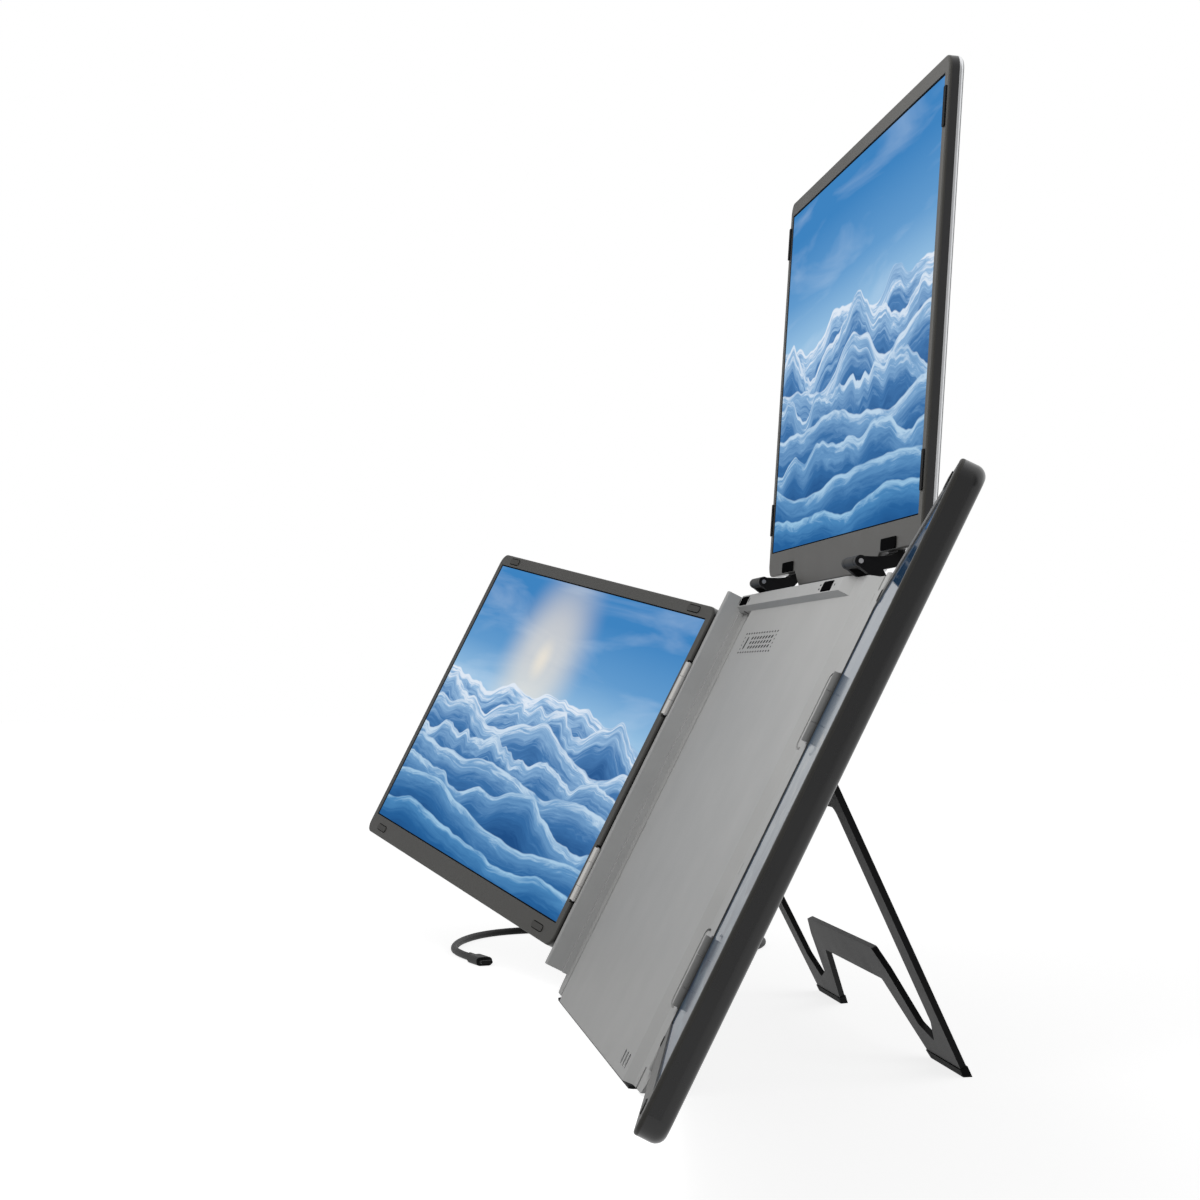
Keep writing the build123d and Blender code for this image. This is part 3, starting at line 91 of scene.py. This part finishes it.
def top_face():
    rise = UP * cos(TILT) + FRONT * sin(TILT)
    facing = FRONT * cos(TILT) - UP * sin(TILT)
    axis = at(0, TOP_AXIS_U, TOP_AXIS_LEVEL)
    middle = axis + rise * TOP_REACH - facing * TOP_FACE_BEHIND
    return Face(middle - ACROSS * (SCREEN_WIDTH / 2), ACROSS, facing)


BODY_FACE = Face(CORNER, ACROSS, FRONT)
FACES = {"left": wing_face(LEFT), "right": wing_face(RIGHT), "top": top_face()}
BODY_OF = {"left": "left_wing", "right": "right_wing", "top": "top_screen"}


def new_object(name, data):
    made = bpy.data.objects.new(name, data)
    bpy.context.scene.collection.objects.link(made)
    return made


# ---- Camera --------------------------------------------------------------------------------
YAW, PITCH, ROLL = radians(6.716), radians(1.696), radians(-1.068)
CAMERA_PLACE = (1.37454, -0.15733, 0.19854)
FRAME_PIXELS, FOCAL_PIXELS, SENSOR_WIDTH = 1200, 2523.3, 36

forward = Vector((-cos(YAW) * cos(PITCH), sin(YAW) * cos(PITCH), sin(PITCH)))
level_right = Vector((sin(YAW), cos(YAW), 0))
level_up = level_right.cross(forward)
right = level_right * cos(ROLL) + level_up * sin(ROLL)
up = level_up * cos(ROLL) - level_right * sin(ROLL)
camera = new_object("camera", bpy.data.cameras.new("camera"))
turn = Matrix((right, up, -forward)).transposed().to_4x4()
camera.matrix_world = Matrix.Translation(CAMERA_PLACE) @ turn
camera.data.sensor_width = SENSOR_WIDTH
camera.data.lens = FOCAL_PIXELS / FRAME_PIXELS * SENSOR_WIDTH
camera.data.clip_start, camera.data.clip_end = 0.05, 60
bpy.context.scene.camera = camera
bpy.context.scene.view_settings.view_transform = "Standard"


# ---- Material helpers ----------------------------------------------------------------------
def new_material(name):
    material = bpy.data.materials.new(name)
    material.use_nodes = True
    tree = material.node_tree
    tree.nodes.clear()
    return material, tree


def feed(tree, socket, value):
    """Link a node's output to the socket, or set the socket to a plain value."""
    if hasattr(value, "is_output"):
        tree.links.new(value, socket)
    else:
        socket.default_value = value


def node(tree, kind, inputs=None, **settings):
    made = tree.nodes.new("ShaderNode" + kind)
    for key, value in settings.items():
        setattr(made, key, value)
    for key, value in (inputs or {}).items():
        feed(tree, made.inputs[key], value)
    return made


def grey(value):
    return (value, value, value, 1)


def rgb(r, g, b):
    """A display colour of 0 to 255 as the linear value that shows as it."""
    def linear(c):
        c /= 255
        return c / 12.92 if c <= 0.04045 else ((c + 0.055) / 1.055) ** 2.4
    return (linear(r), linear(g), linear(b), 1)


def maths(tree, operation, a, b=0.0, c=0.0, clamp=False):
    made = node(tree, "Math", {0: a, 1: b, 2: c}, operation=operation)
    made.use_clamp = clamp
    return made.outputs[0]


def colour_mix(tree, factor, a, b):
    made = node(tree, "Mix", data_type="RGBA")
    # The Mix node's colour factor, A and B are its inputs 0, 6 and 7.
    for index, value in ((0, factor), (6, a), (7, b)):
        feed(tree, made.inputs[index], value)
    return made.outputs[2]


def ramp(tree, factor, stops, interpolation="LINEAR"):
    made = node(tree, "ValToRGB", {"Fac": factor})
    made.color_ramp.interpolation = interpolation
    elements = made.color_ramp.elements
    while len(elements) < len(stops):
        elements.new(0.5)
    for element, (place, value) in zip(elements, stops):
        element.position = place
        element.color = value if isinstance(value, tuple) else grey(value)
    return made.outputs["Color"]


def object_place(tree):
    return node(tree, "TexCoord").outputs["Object"]


def along(tree, place, origin, direction, unit):
    """How far a point lies from origin along direction, in units."""
    offset = node(tree, "VectorMath", {0: place, 1: tuple(origin)}, operation="SUBTRACT")
    dot = node(tree, "VectorMath", {0: offset.outputs["Vector"], 1: tuple(direction)},
               operation="DOT_PRODUCT")
    return maths(tree, "DIVIDE", dot.outputs["Value"], unit)


def noise(tree, place, **inputs):
    return node(tree, "TexNoise", {"Vector": place, **inputs}).outputs["Fac"]


NO_STRETCH = (1, 1, 1)
MOTTLE_SHARE = 0.65         # the rest of the tone comes from the fine grain
SHEEN_WEAR = 0.06           # how far roughness strays to each side
GRAIN_HEIGHT = 0.2 * MM


def surface(name, dark, light, rough, grain_mm, grain, metallic=0.0, mottle=30.0, specular=0.5,
            stretch=NO_STRETCH, bands=None):
    """Moulded plastic, paint or metal: a fine grain, a soft mottle and a worn sheen.

    bands is (face, ((depth, colour, metallic), ...)): past each depth in mm behind the face the
    surface takes that colour and metallic value.
    """
    material, tree = new_material(name)
    place = object_place(tree)
    if stretch != NO_STRETCH:
        place = node(tree, "Mapping", {"Vector": place, "Scale": stretch}).outputs[0]
    patches = noise(tree, place, Scale=mottle, Detail=4.0)
    fine = noise(tree, place, Scale=1 / (grain_mm * MM), Detail=2.0)
    tone = maths(tree, "ADD", maths(tree, "MULTIPLY", patches, MOTTLE_SHARE),
                 maths(tree, "MULTIPLY", fine, 1 - MOTTLE_SHARE))
    colour = ramp(tree, tone, [(0.3, dark), (0.7, light)])
    metal = metallic
    if bands:
        face, steps = bands
        behind = along(tree, object_place(tree), face.origin, -face.z, MM)
        before = metallic
        for depth, band_colour, band_metal in steps:
            past = maths(tree, "GREATER_THAN", behind, depth)
            colour = colour_mix(tree, past, colour, band_colour)
            metal = maths(tree, "MULTIPLY_ADD", past, band_metal - before, metal)
            before = band_metal
    sheen = node(tree, "MapRange", {"Value": patches, "To Min": rough - SHEEN_WEAR,
                                    "To Max": rough + SHEEN_WEAR}).outputs[0]
    bump = node(tree, "Bump", {"Height": fine, "Strength": grain, "Distance": GRAIN_HEIGHT})
    shader = node(tree, "BsdfPrincipled", {
        "Base Color": colour, "Roughness": sheen, "Metallic": metal,
        "Specular IOR Level": specular, "Normal": bump.outputs[0]})
    node(tree, "OutputMaterial", {"Surface": shader.outputs[0]})
    return material


# ---- The screens' picture: layered waves, pale crests over deep blue ------------------------
# Each wave: its crest's height on the screen, its rise and fall, how many swells it has.
WAVES = ((0.60, 0.10, 2.6), (0.55, 0.13, 3.4), (0.47, 0.11, 2.2), (0.40, 0.10, 3.9),
         (0.33, 0.08, 2.0), (0.25, 0.07, 3.1), (0.17, 0.06, 1.7), (0.08, 0.05, 2.4))
# A wave's tones from its crest down, on the farthest and on the nearest wave, and where they lie.
FAR_TONES = (rgb(226, 236, 248), rgb(156, 192, 226), rgb(78, 128, 182), rgb(44, 92, 148))
NEAR_TONES = (rgb(156, 198, 228), rgb(76, 136, 188), rgb(38, 98, 156), rgb(22, 72, 128))
TONE_DEPTHS = (0.0, 0.16, 0.5, 1.0)
WAVE_DEPTH, WAVE_DEPTH_LOSS = 0.19, 0.05        # on the farthest wave, and less on the nearest
FRAY, FRAY_LOSS = 1.3, 0.7
CREST_SWING = 2.6
CREST_EDGE = 0.004
SKY = ((0.45, rgb(176, 210, 236)), (0.58, rgb(150, 193, 228)), (0.72, rgb(98, 156, 208)),
       (0.9, rgb(62, 132, 194)))
WISP_COLOUR, SUN_COLOUR = rgb(214, 230, 246), rgb(252, 240, 218)
SUN_GLOW = ((0.0, 0.8), (0.1, 0.55), (0.42, 0.0))
ASPECT = 1.78
PICTURE_BORDER_MM = 0.9
BORDER_COLOUR, GLASS_COLOUR = rgb(8, 9, 11), rgb(10, 11, 14)
PICTURE_STRENGTH = 0.97


def between(a, b, share):
    return tuple(p + (q - p) * share for p, q in zip(a, b))


def from_edges(tree, share):
    """How far a share of 0 to 1 lies from the nearer end."""
    return maths(tree, "MINIMUM", share, maths(tree, "SUBTRACT", 1.0, share))


def sky(tree, u, v, seed, sun_place):
    drift = node(tree, "CombineXYZ", {"X": maths(tree, "MULTIPLY", u, 1.3),
                                      "Y": maths(tree, "MULTIPLY", v, 5.0), "Z": seed})
    wisps = noise(tree, drift.outputs[0], Scale=1.5, Detail=4.0, Distortion=0.6)
    colour = colour_mix(tree, ramp(tree, wisps, [(0.5, 0.0), (0.75, 0.3)]), ramp(tree, v, SKY),
                        WISP_COLOUR)
    if sun_place:
        flat = node(tree, "CombineXYZ", {"X": maths(tree, "MULTIPLY", u, ASPECT), "Y": v})
        centre = (sun_place[0] * ASPECT, sun_place[1], 0)
        far = node(tree, "VectorMath", {0: flat.outputs[0], 1: centre}, operation="DISTANCE")
        glow = ramp(tree, far.outputs["Value"], SUN_GLOW, "EASE")
        colour = colour_mix(tree, glow, colour, SUN_COLOUR)
    return colour


def wave(tree, u, v, seed, index):
    """A wave's colour, and how much of it covers what lies behind it."""
    height, swing, swells = WAVES[index]
    nearness = index / (len(WAVES) - 1)
    tones = [between(f, n, nearness) for f, n in zip(FAR_TONES, NEAR_TONES)]
    travel = maths(tree, "ADD", maths(tree, "MULTIPLY", u, swells), seed * (index + 1.7))
    crest = node(tree, "TexNoise", {"W": travel, "Scale": 1.0, "Detail": 3.5,
                                    "Roughness": 0.48}, noise_dimensions="1D").outputs["Fac"]
    rise = maths(tree, "MULTIPLY", maths(tree, "SUBTRACT", crest, 0.5), CREST_SWING * swing)
    below = maths(tree, "SUBTRACT", maths(tree, "ADD", rise, height), v)
    strands = node(tree, "CombineXYZ", {"X": maths(tree, "MULTIPLY", u, 5.0),
                                        "Y": maths(tree, "MULTIPLY", below, 34.0),
                                        "Z": seed + index})
    fray = noise(tree, strands.outputs[0], Scale=1.0, Detail=6.0, Roughness=0.68,
                 Distortion=1.3)
    depth = maths(tree, "ADD",
                  maths(tree, "DIVIDE", below, WAVE_DEPTH - WAVE_DEPTH_LOSS * nearness),
                  maths(tree, "MULTIPLY", maths(tree, "SUBTRACT", fray, 0.5),
                        FRAY - FRAY_LOSS * nearness))
    tone = ramp(tree, depth, list(zip(TONE_DEPTHS, tones)))
    return tone, maths(tree, "DIVIDE", below, CREST_EDGE, clamp=True)


def picture_material(name, face, seed, sun_place, coat):
    material, tree = new_material(name)
    place = object_place(tree)
    corner = face.place((SCREEN_WIDTH - ACTIVE_WIDTH) / 2, BOTTOM_BEZEL)
    u = along(tree, place, corner, face.x, ACTIVE_WIDTH)
    v = along(tree, place, corner, face.y, ACTIVE_HEIGHT)
    colour = sky(tree, u, v, seed, sun_place)
    for index in range(len(WAVES)):
        tone, cover = wave(tree, u, v, seed, index)
        colour = colour_mix(tree, cover, colour, tone)
    inside = maths(tree, "MINIMUM",
                   maths(tree, "MULTIPLY", from_edges(tree, u), ACTIVE_WIDTH / MM),
                   maths(tree, "MULTIPLY", from_edges(tree, v), ACTIVE_HEIGHT / MM))
    lit = maths(tree, "GREATER_THAN", inside, PICTURE_BORDER_MM)
    shader = node(tree, "BsdfPrincipled", {
        "Base Color": GLASS_COLOUR, "Roughness": 0.3, "Specular IOR Level": 0.0,
        "Emission Color": colour_mix(tree, lit, BORDER_COLOUR, colour),
        "Emission Strength": PICTURE_STRENGTH})
    if coat:
        shader.inputs["Coat Weight"].default_value = 1.0
        shader.inputs["Coat Roughness"].default_value = 0.03
        shader.inputs["Coat IOR"].default_value = 1.7
    node(tree, "OutputMaterial", {"Surface": shader.outputs[0]})
    return material


# ---- Materials -----------------------------------------------------------------------------
# The top screen's shell: a silver band, then a dark metal one, by depth in mm behind its face.
TOP_SHELL_BANDS = ((5.3, rgb(214, 215, 217), 0.8), (7.1, rgb(92, 93, 95), 0.5))
# Each finish: darker tone, lighter tone, roughness, grain size in mm, grain strength, the rest.
FINISHES = {
    "cover_grey": (rgb(158, 158, 157), rgb(168, 168, 167), 0.55, 0.35, 0.12,
                   {"specular": 0.12}),
    "rear_black": (rgb(34, 34, 36), rgb(42, 42, 44), 0.48, 0.5, 0.2, {}),
    "bezel_dark": (rgb(60, 59, 57), rgb(68, 67, 64), 0.52, 0.35, 0.15, {"specular": 0.2}),
    "pad_dark": (rgb(54, 53, 51), rgb(62, 61, 59), 0.62, 0.35, 0.15, {"specular": 0.2}),
    "shell_dark": (rgb(18, 18, 19), rgb(24, 24, 25), 0.28, 0.5, 0.06, {}),
    "shell_two_tone": (rgb(30, 30, 31), rgb(38, 38, 39), 0.3, 0.5, 0.08,
                       {"bands": (FACES["top"], TOP_SHELL_BANDS)}),
    "steel": (rgb(150, 150, 152), rgb(165, 165, 168), 0.32, 0.2, 0.1, {"metallic": 1.0}),
    "hinge_silver": (rgb(168, 166, 163), rgb(184, 182, 179), 0.3, 0.2, 0.08,
                     {"metallic": 0.85, "stretch": (1, 0.1, 0.1)}),
    "hinge_grey": (rgb(86, 86, 85), rgb(95, 95, 94), 0.42, 0.3, 0.1, {}),
    "hinge_black": (rgb(16, 16, 17), rgb(22, 22, 23), 0.5, 0.4, 0.12, {"specular": 0.08}),
    "cap_black": (rgb(14, 14, 15), rgb(20, 20, 21), 0.6, 0.4, 0.12, {"specular": 0.0}),
    "stand_grey": (rgb(21, 21, 22), rgb(27, 27, 28), 0.5, 0.3, 0.15, {"specular": 0.1}),
    "rubber_black": (rgb(14, 14, 15), rgb(20, 20, 21), 0.75, 0.6, 0.3, {"specular": 0.1}),
    "key_black": (rgb(8, 8, 9), rgb(13, 13, 14), 0.75, 0.3, 0.12, {"specular": 0.0}),
    "cable_black": (rgb(14, 14, 15), rgb(20, 20, 21), 0.55, 0.5, 0.15, {"specular": 0.15}),
    "board_green": (rgb(16, 74, 42), rgb(22, 90, 52), 0.45, 0.6, 0.1, {"mottle": 120}),
    "chip_black": (rgb(20, 20, 22), rgb(30, 30, 32), 0.5, 0.3, 0.1, {}),
    "panel_metal": (rgb(120, 122, 124), rgb(134, 136, 138), 0.45, 0.3, 0.1,
                    {"metallic": 0.6}),
    # The dark of the printed marks on the body and ledge, and painted shade round the wings'
    # pads.
    "print_and_gap_shade": (rgb(16, 16, 16), rgb(24, 24, 24), 0.9, 0.3, 0.1, {"specular": 0.02}),
}
finishes = {name: surface(name, *values, **rest) for name, (*values, rest) in FINISHES.items()}

# Each screen's picture: its noise seed, its sun's place if it shows one, a glossy coat or none.
PICTURES = {"left": (1.73, (0.42, 0.72), False), "right": (5.21, None, True),
            "top": (9.47, None, False)}

PAINTED = {
    "cover_grey": ("front_cover",),
    "rear_black": ("rear_cover",),
    "rubber_black": ("base_foot", "top_bumpers", "kickstand_feet"),
    "pad_dark": ("left_pads", "right_pads"),
    "steel": ("cover_screws", "usb_sockets", "hdmi_socket", "left_leaf_screws",
              "right_leaf_screws", "left_hinge_pins", "right_hinge_pins", "top_hinge_pins",
              "kickstand_pins"),
    "board_green": ("main_board", "port_board", "key_boards", "left_driver_board",
                    "right_driver_board", "top_driver_board"),
    "chip_black": ("board_chips", "key_switches"),
    "key_black": ("ledge_key_left", "ledge_key_right"),
    "bezel_dark": ("left_bezel", "right_bezel", "top_bezel"),
    "panel_metal": ("left_display_panel", "right_display_panel", "top_display_panel"),
    "shell_dark": ("left_rear_shell", "right_rear_shell"),
    "shell_two_tone": ("top_rear_shell",),
    "hinge_silver": ("left_fixed_leaves", "left_moving_leaves"),
    "hinge_grey": ("right_fixed_leaves", "right_moving_leaves"),
    "hinge_black": ("top_brackets", "top_arms"),
    "cap_black": ("top_arm_caps",),
    "stand_grey": ("kickstand_frame", "kickstand_lugs"),
    "cable_black": ("body_plug", "laptop_plug", "cable"),
}


def paint(material, name):
    slots = nodes[name].data.materials
    slots.clear()
    slots.append(material)
    for polygon in nodes[name].data.polygons:
        polygon.material_index = 0


for finish, names in PAINTED.items():
    for name in names:
        paint(finishes[finish], name)
for screen, (seed, sun_place, coat) in PICTURES.items():
    paint(picture_material(f"{screen}_picture", FACES[screen], seed, sun_place, coat),
          f"{screen}_display_glass")

# ---- Cable ---------------------------------------------------------------------------------
CLEARANCE = 0.0003
PORT_U, PORT_LEVEL = 0.110, -0.0076
PLUG_LENGTH = 0.034                 # with its strain relief
STRAIGHT_RUN = 0.027                # the cable's first run out of the plug
CABLE_RADIUS = 0.0026
PLUG_MOUTH = at(-BODY_HALF - CLEARANCE, PORT_U, PORT_LEVEL) - ACROSS * PLUG_LENGTH
# The rest of the route in mm: down to the table, then round in a loop to the free plug.
ROUTE_MM = (
    (-283, 56, 84), (-302, 64, 61), (-316, 75, 37), (-333, 92, 16),
    (-356, 116, 5.0), (-384, 145, 2.7), (-421, 168, 2.7), (-466, 174, 2.7), (-508, 160, 2.7),
    (-541, 128, 2.7), (-562, 87, 2.7), (-573, 43, 2.7), (-572, 2, 2.7), (-553, -24, 2.7),
    (-517, -42, 2.7), (-473, -52, 2.7), (-432, -53, 2.7), (-398, -45, 2.7))
ROUTE = [PLUG_MOUTH, PLUG_MOUTH - ACROSS * STRAIGHT_RUN] + [Vector(p) * MM for p in ROUTE_MM]


def spline_object(name, points, radius):
    curve = bpy.data.curves.new(name, "CURVE")
    curve.dimensions = "3D"
    line = curve.splines.new("NURBS")
    line.points.add(len(points) - 1)
    for control, point in zip(line.points, points):
        control.co = (*point, 1)
    line.order_u = 3
    line.use_endpoint_u = True
    line.resolution_u = 16
    curve.bevel_depth = radius
    curve.bevel_resolution = 6
    return new_object(name, curve)


lead = spline_object("lead", ROUTE, CABLE_RADIUS)
lead.data.materials.append(finishes["cable_black"])
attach(lead, "body")
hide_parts("cable")


# ---- Fine marks on the body and the bezels, in mm on their faces ----------------------------
MARK_PROUD = MARK_SUNK = 0.05 * MM
CORNER_STEPS = 5


def add_mark(mesh, face, level, x, y, width, height, lean=0.0):
    """A rounded slot, standing just proud of a face: its middle, width, height and slant."""
    radius = min(width, height) / 2
    points = []
    for corner, (sx, sy) in enumerate(((1, 1), (-1, 1), (-1, -1), (1, -1))):
        for step in range(CORNER_STEPS + 1):
            angle = (corner + step / CORNER_STEPS) * pi / 2
            dx = sx * (width / 2 - radius) + radius * cos(angle)
            dy = sy * (height / 2 - radius) + radius * sin(angle)
            points.append((x + dx + lean * dy, y + dy))
    back, front = [
        [mesh.verts.new(face.place(px * MM, py * MM, level * MM + z)) for px, py in points]
        for z in (-MARK_SUNK, MARK_PROUD)]
    mesh.faces.new(front)
    mesh.faces.new(list(reversed(back)))
    for i in range(len(points)):
        j = (i + 1) % len(points)
        mesh.faces.new((back[i], back[j], front[j], front[i]))


def marks(name, face, body, items, level=0.0):
    mesh = bmesh.new()
    for item in items:
        add_mark(mesh, face, level, *item)
    bmesh.ops.remove_doubles(mesh, verts=mesh.verts, dist=1e-7)
    data = bpy.data.meshes.new(name)
    mesh.to_mesh(data)
    mesh.free()
    data.materials.append(finishes["print_and_gap_shade"])
    made = new_object(name, data)
    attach(made, body)


# A frame of dashes round three rows of slanted slots with a bar at their left.
GRID_LEFT, GRID_RIGHT, GRID_LOW, GRID_HIGH = -125.0, -25.0, 235.5, 248.0
FRAME_COLUMNS, FRAME_ROWS = 13, 5
SLOT_ROWS, SLOT_COLUMNS = 3, 8
SLOT_INSET, SLOT_PITCH = (27.0, 3.2), (9.0, 3.0)
DASH, SIDE_DASH, SLOT, BAR = (3.0, 1.1), (1.6, 1.1), (3.9, 1.9, 1.2), (3.4, 8.4, 0.3)
BAR_INSET = (11.0, 6.2)
grid = []
for i in range(FRAME_COLUMNS):
    x = GRID_LEFT + (GRID_RIGHT - GRID_LEFT) * i / (FRAME_COLUMNS - 1)
    grid += [(x, y, *DASH) for y in (GRID_LOW, GRID_HIGH)]
for j in range(1, FRAME_ROWS):
    y = GRID_LOW + (GRID_HIGH - GRID_LOW) * j / FRAME_ROWS
    grid += [(x, y, *SIDE_DASH) for x in (GRID_LEFT, GRID_RIGHT)]
for row in range(SLOT_ROWS):
    y = GRID_LOW + SLOT_INSET[1] + row * SLOT_PITCH[1]
    grid += [(GRID_LEFT + SLOT_INSET[0] + i * SLOT_PITCH[0], y, *SLOT)
             for i in range(SLOT_COLUMNS)]
grid.append((GRID_LEFT + BAR_INSET[0], GRID_LOW + BAR_INSET[1], *BAR))
marks("slot_grid", BODY_FACE, "body", grid)

# Painted shade: a dark ring round each rubber pad of the wings, standing in for the shade in the
# gap round the raised pad.
PAD_COLUMNS, PAD_ROWS, PAD_SHADE_RING = (30.0, 366.0), (7.0, 233.6), (19.2, 5.2)
for screen in ("left", "right"):
    shade_rings = [(x, y, *PAD_SHADE_RING) for x in PAD_COLUMNS for y in PAD_ROWS]
    marks(f"{screen}_pad_gap_shade", FACES[screen], BODY_OF[screen], shade_rings)

# Small marks on the ledge: a dash to each side of the left key, two bars and a dot by the right.
LEDGE_LEVEL = 3.3
LEFT_KEY_X, RIGHT_KEY_X, KEY_U = -174.0, 76.0, 270.4
key_marks = [(LEFT_KEY_X + dx, KEY_U, 1.8, 3.2) for dx in (-17.0, 17.0)]
key_marks += [(RIGHT_KEY_X - 19.0, KEY_U + dy, 3.4, 0.9) for dy in (-1.2, 1.2)]
key_marks.append((RIGHT_KEY_X + 18.5, KEY_U, 1.6, 1.6))
marks("key_marks", BODY_FACE, "body", key_marks, LEDGE_LEVEL)


# ---- Floor ---------------------------------------------------------------------------------
def light_path(tree, *kinds):
    """1 for rays of these kinds, 0 for the others."""
    path = node(tree, "LightPath")
    found = path.outputs[kinds[0]]
    for kind in kinds[1:]:
        found = maths(tree, "MAXIMUM", found, path.outputs[kind])
    return found


FLOOR_HALF = 12
FLOOR_TONE, FLOOR_LIFT = 0.35, 0.84     # what takes shadows, and the white that is added to it
floor_mesh = bpy.data.meshes.new("floor")
floor_mesh.from_pydata([(x * FLOOR_HALF, y * FLOOR_HALF, 0)
                        for x, y in ((-1, -1), (1, -1), (1, 1), (-1, 1))], [], [(0, 1, 2, 3)])
floor = new_object("floor", floor_mesh)
material, tree = new_material("floor_white")
seen = light_path(tree, "Is Camera Ray", "Is Glossy Ray", "Is Transmission Ray")
matt = node(tree, "BsdfDiffuse", {"Color": grey(FLOOR_TONE)})
lift = node(tree, "Emission", {"Color": grey(1.0),
                               "Strength": maths(tree, "MULTIPLY", seen, FLOOR_LIFT)})
both = node(tree, "AddShader", {0: matt.outputs[0], 1: lift.outputs[0]})
node(tree, "OutputMaterial", {"Surface": both.outputs[0]})
floor_mesh.materials.append(material)

# ---- World and lamps -----------------------------------------------------------------------
FILL_STRENGTH = 0.28
# Mirror-like surfaces see a white room, less bright at the end where X is highest.
ROOM_ALONG_X = ((0.0, 1.0), (0.62, 1.0), (0.9, 0.3), (1.0, 0.25))
world = bpy.data.worlds.new("world")
world.use_nodes = True
bpy.context.scene.world = world
tree = world.node_tree
tree.nodes.clear()
heading = node(tree, "SeparateXYZ", {0: node(tree, "TexCoord").outputs["Generated"]})
room = ramp(tree, maths(tree, "MULTIPLY_ADD", heading.outputs["X"], 0.5, 0.5), ROOM_ALONG_X,
            "EASE")
shown = node(tree, "Background", {"Color": grey(1.0), "Strength": 1.0})
mirrored = node(tree, "Background", {"Color": room, "Strength": 1.0})
fill = node(tree, "Background", {"Color": grey(1.0), "Strength": FILL_STRENGTH})
unseen = node(tree, "MixShader", {0: light_path(tree, "Is Glossy Ray"), 1: fill.outputs[0],
                                  2: mirrored.outputs[0]})
chosen = node(tree, "MixShader", {0: light_path(tree, "Is Camera Ray", "Is Transmission Ray"),
                                  1: unseen.outputs[0], 2: shown.outputs[0]})
node(tree, "OutputWorld", {"Surface": chosen.outputs[0]})

SUN_SPREAD = radians(85)


def sun(name, direction, strength):
    light = bpy.data.lights.new(name, "SUN")
    light.energy, light.angle = strength, SUN_SPREAD
    made = new_object(name, light)
    made.rotation_mode = "QUATERNION"
    made.rotation_quaternion = Vector(direction).normalized().to_track_quat("-Z", "Y")


def softbox(name, place, aim, size, power):
    light = bpy.data.lights.new(name, "AREA")
    light.shape, light.size, light.energy = "SQUARE", size, power
    made = new_object(name, light)
    made.location = place
    made.rotation_mode = "QUATERNION"
    made.rotation_quaternion = (Vector(aim) - Vector(place)).to_track_quat("-Z", "Y")
    made.visible_camera = False
    made.visible_glossy = False


sun("key_light", (-0.1, 0.6, -1.0), 0.4)
sun("side_light", (-1.0, 0.3, -0.5), 0.5)
sun("rear_light", (0.25, -1.0, -0.5), 0.5)
softbox("top_box", (0.26, -0.14, 0.6), (0.0, 0.1, 0.24), size=0.3, power=1.75)
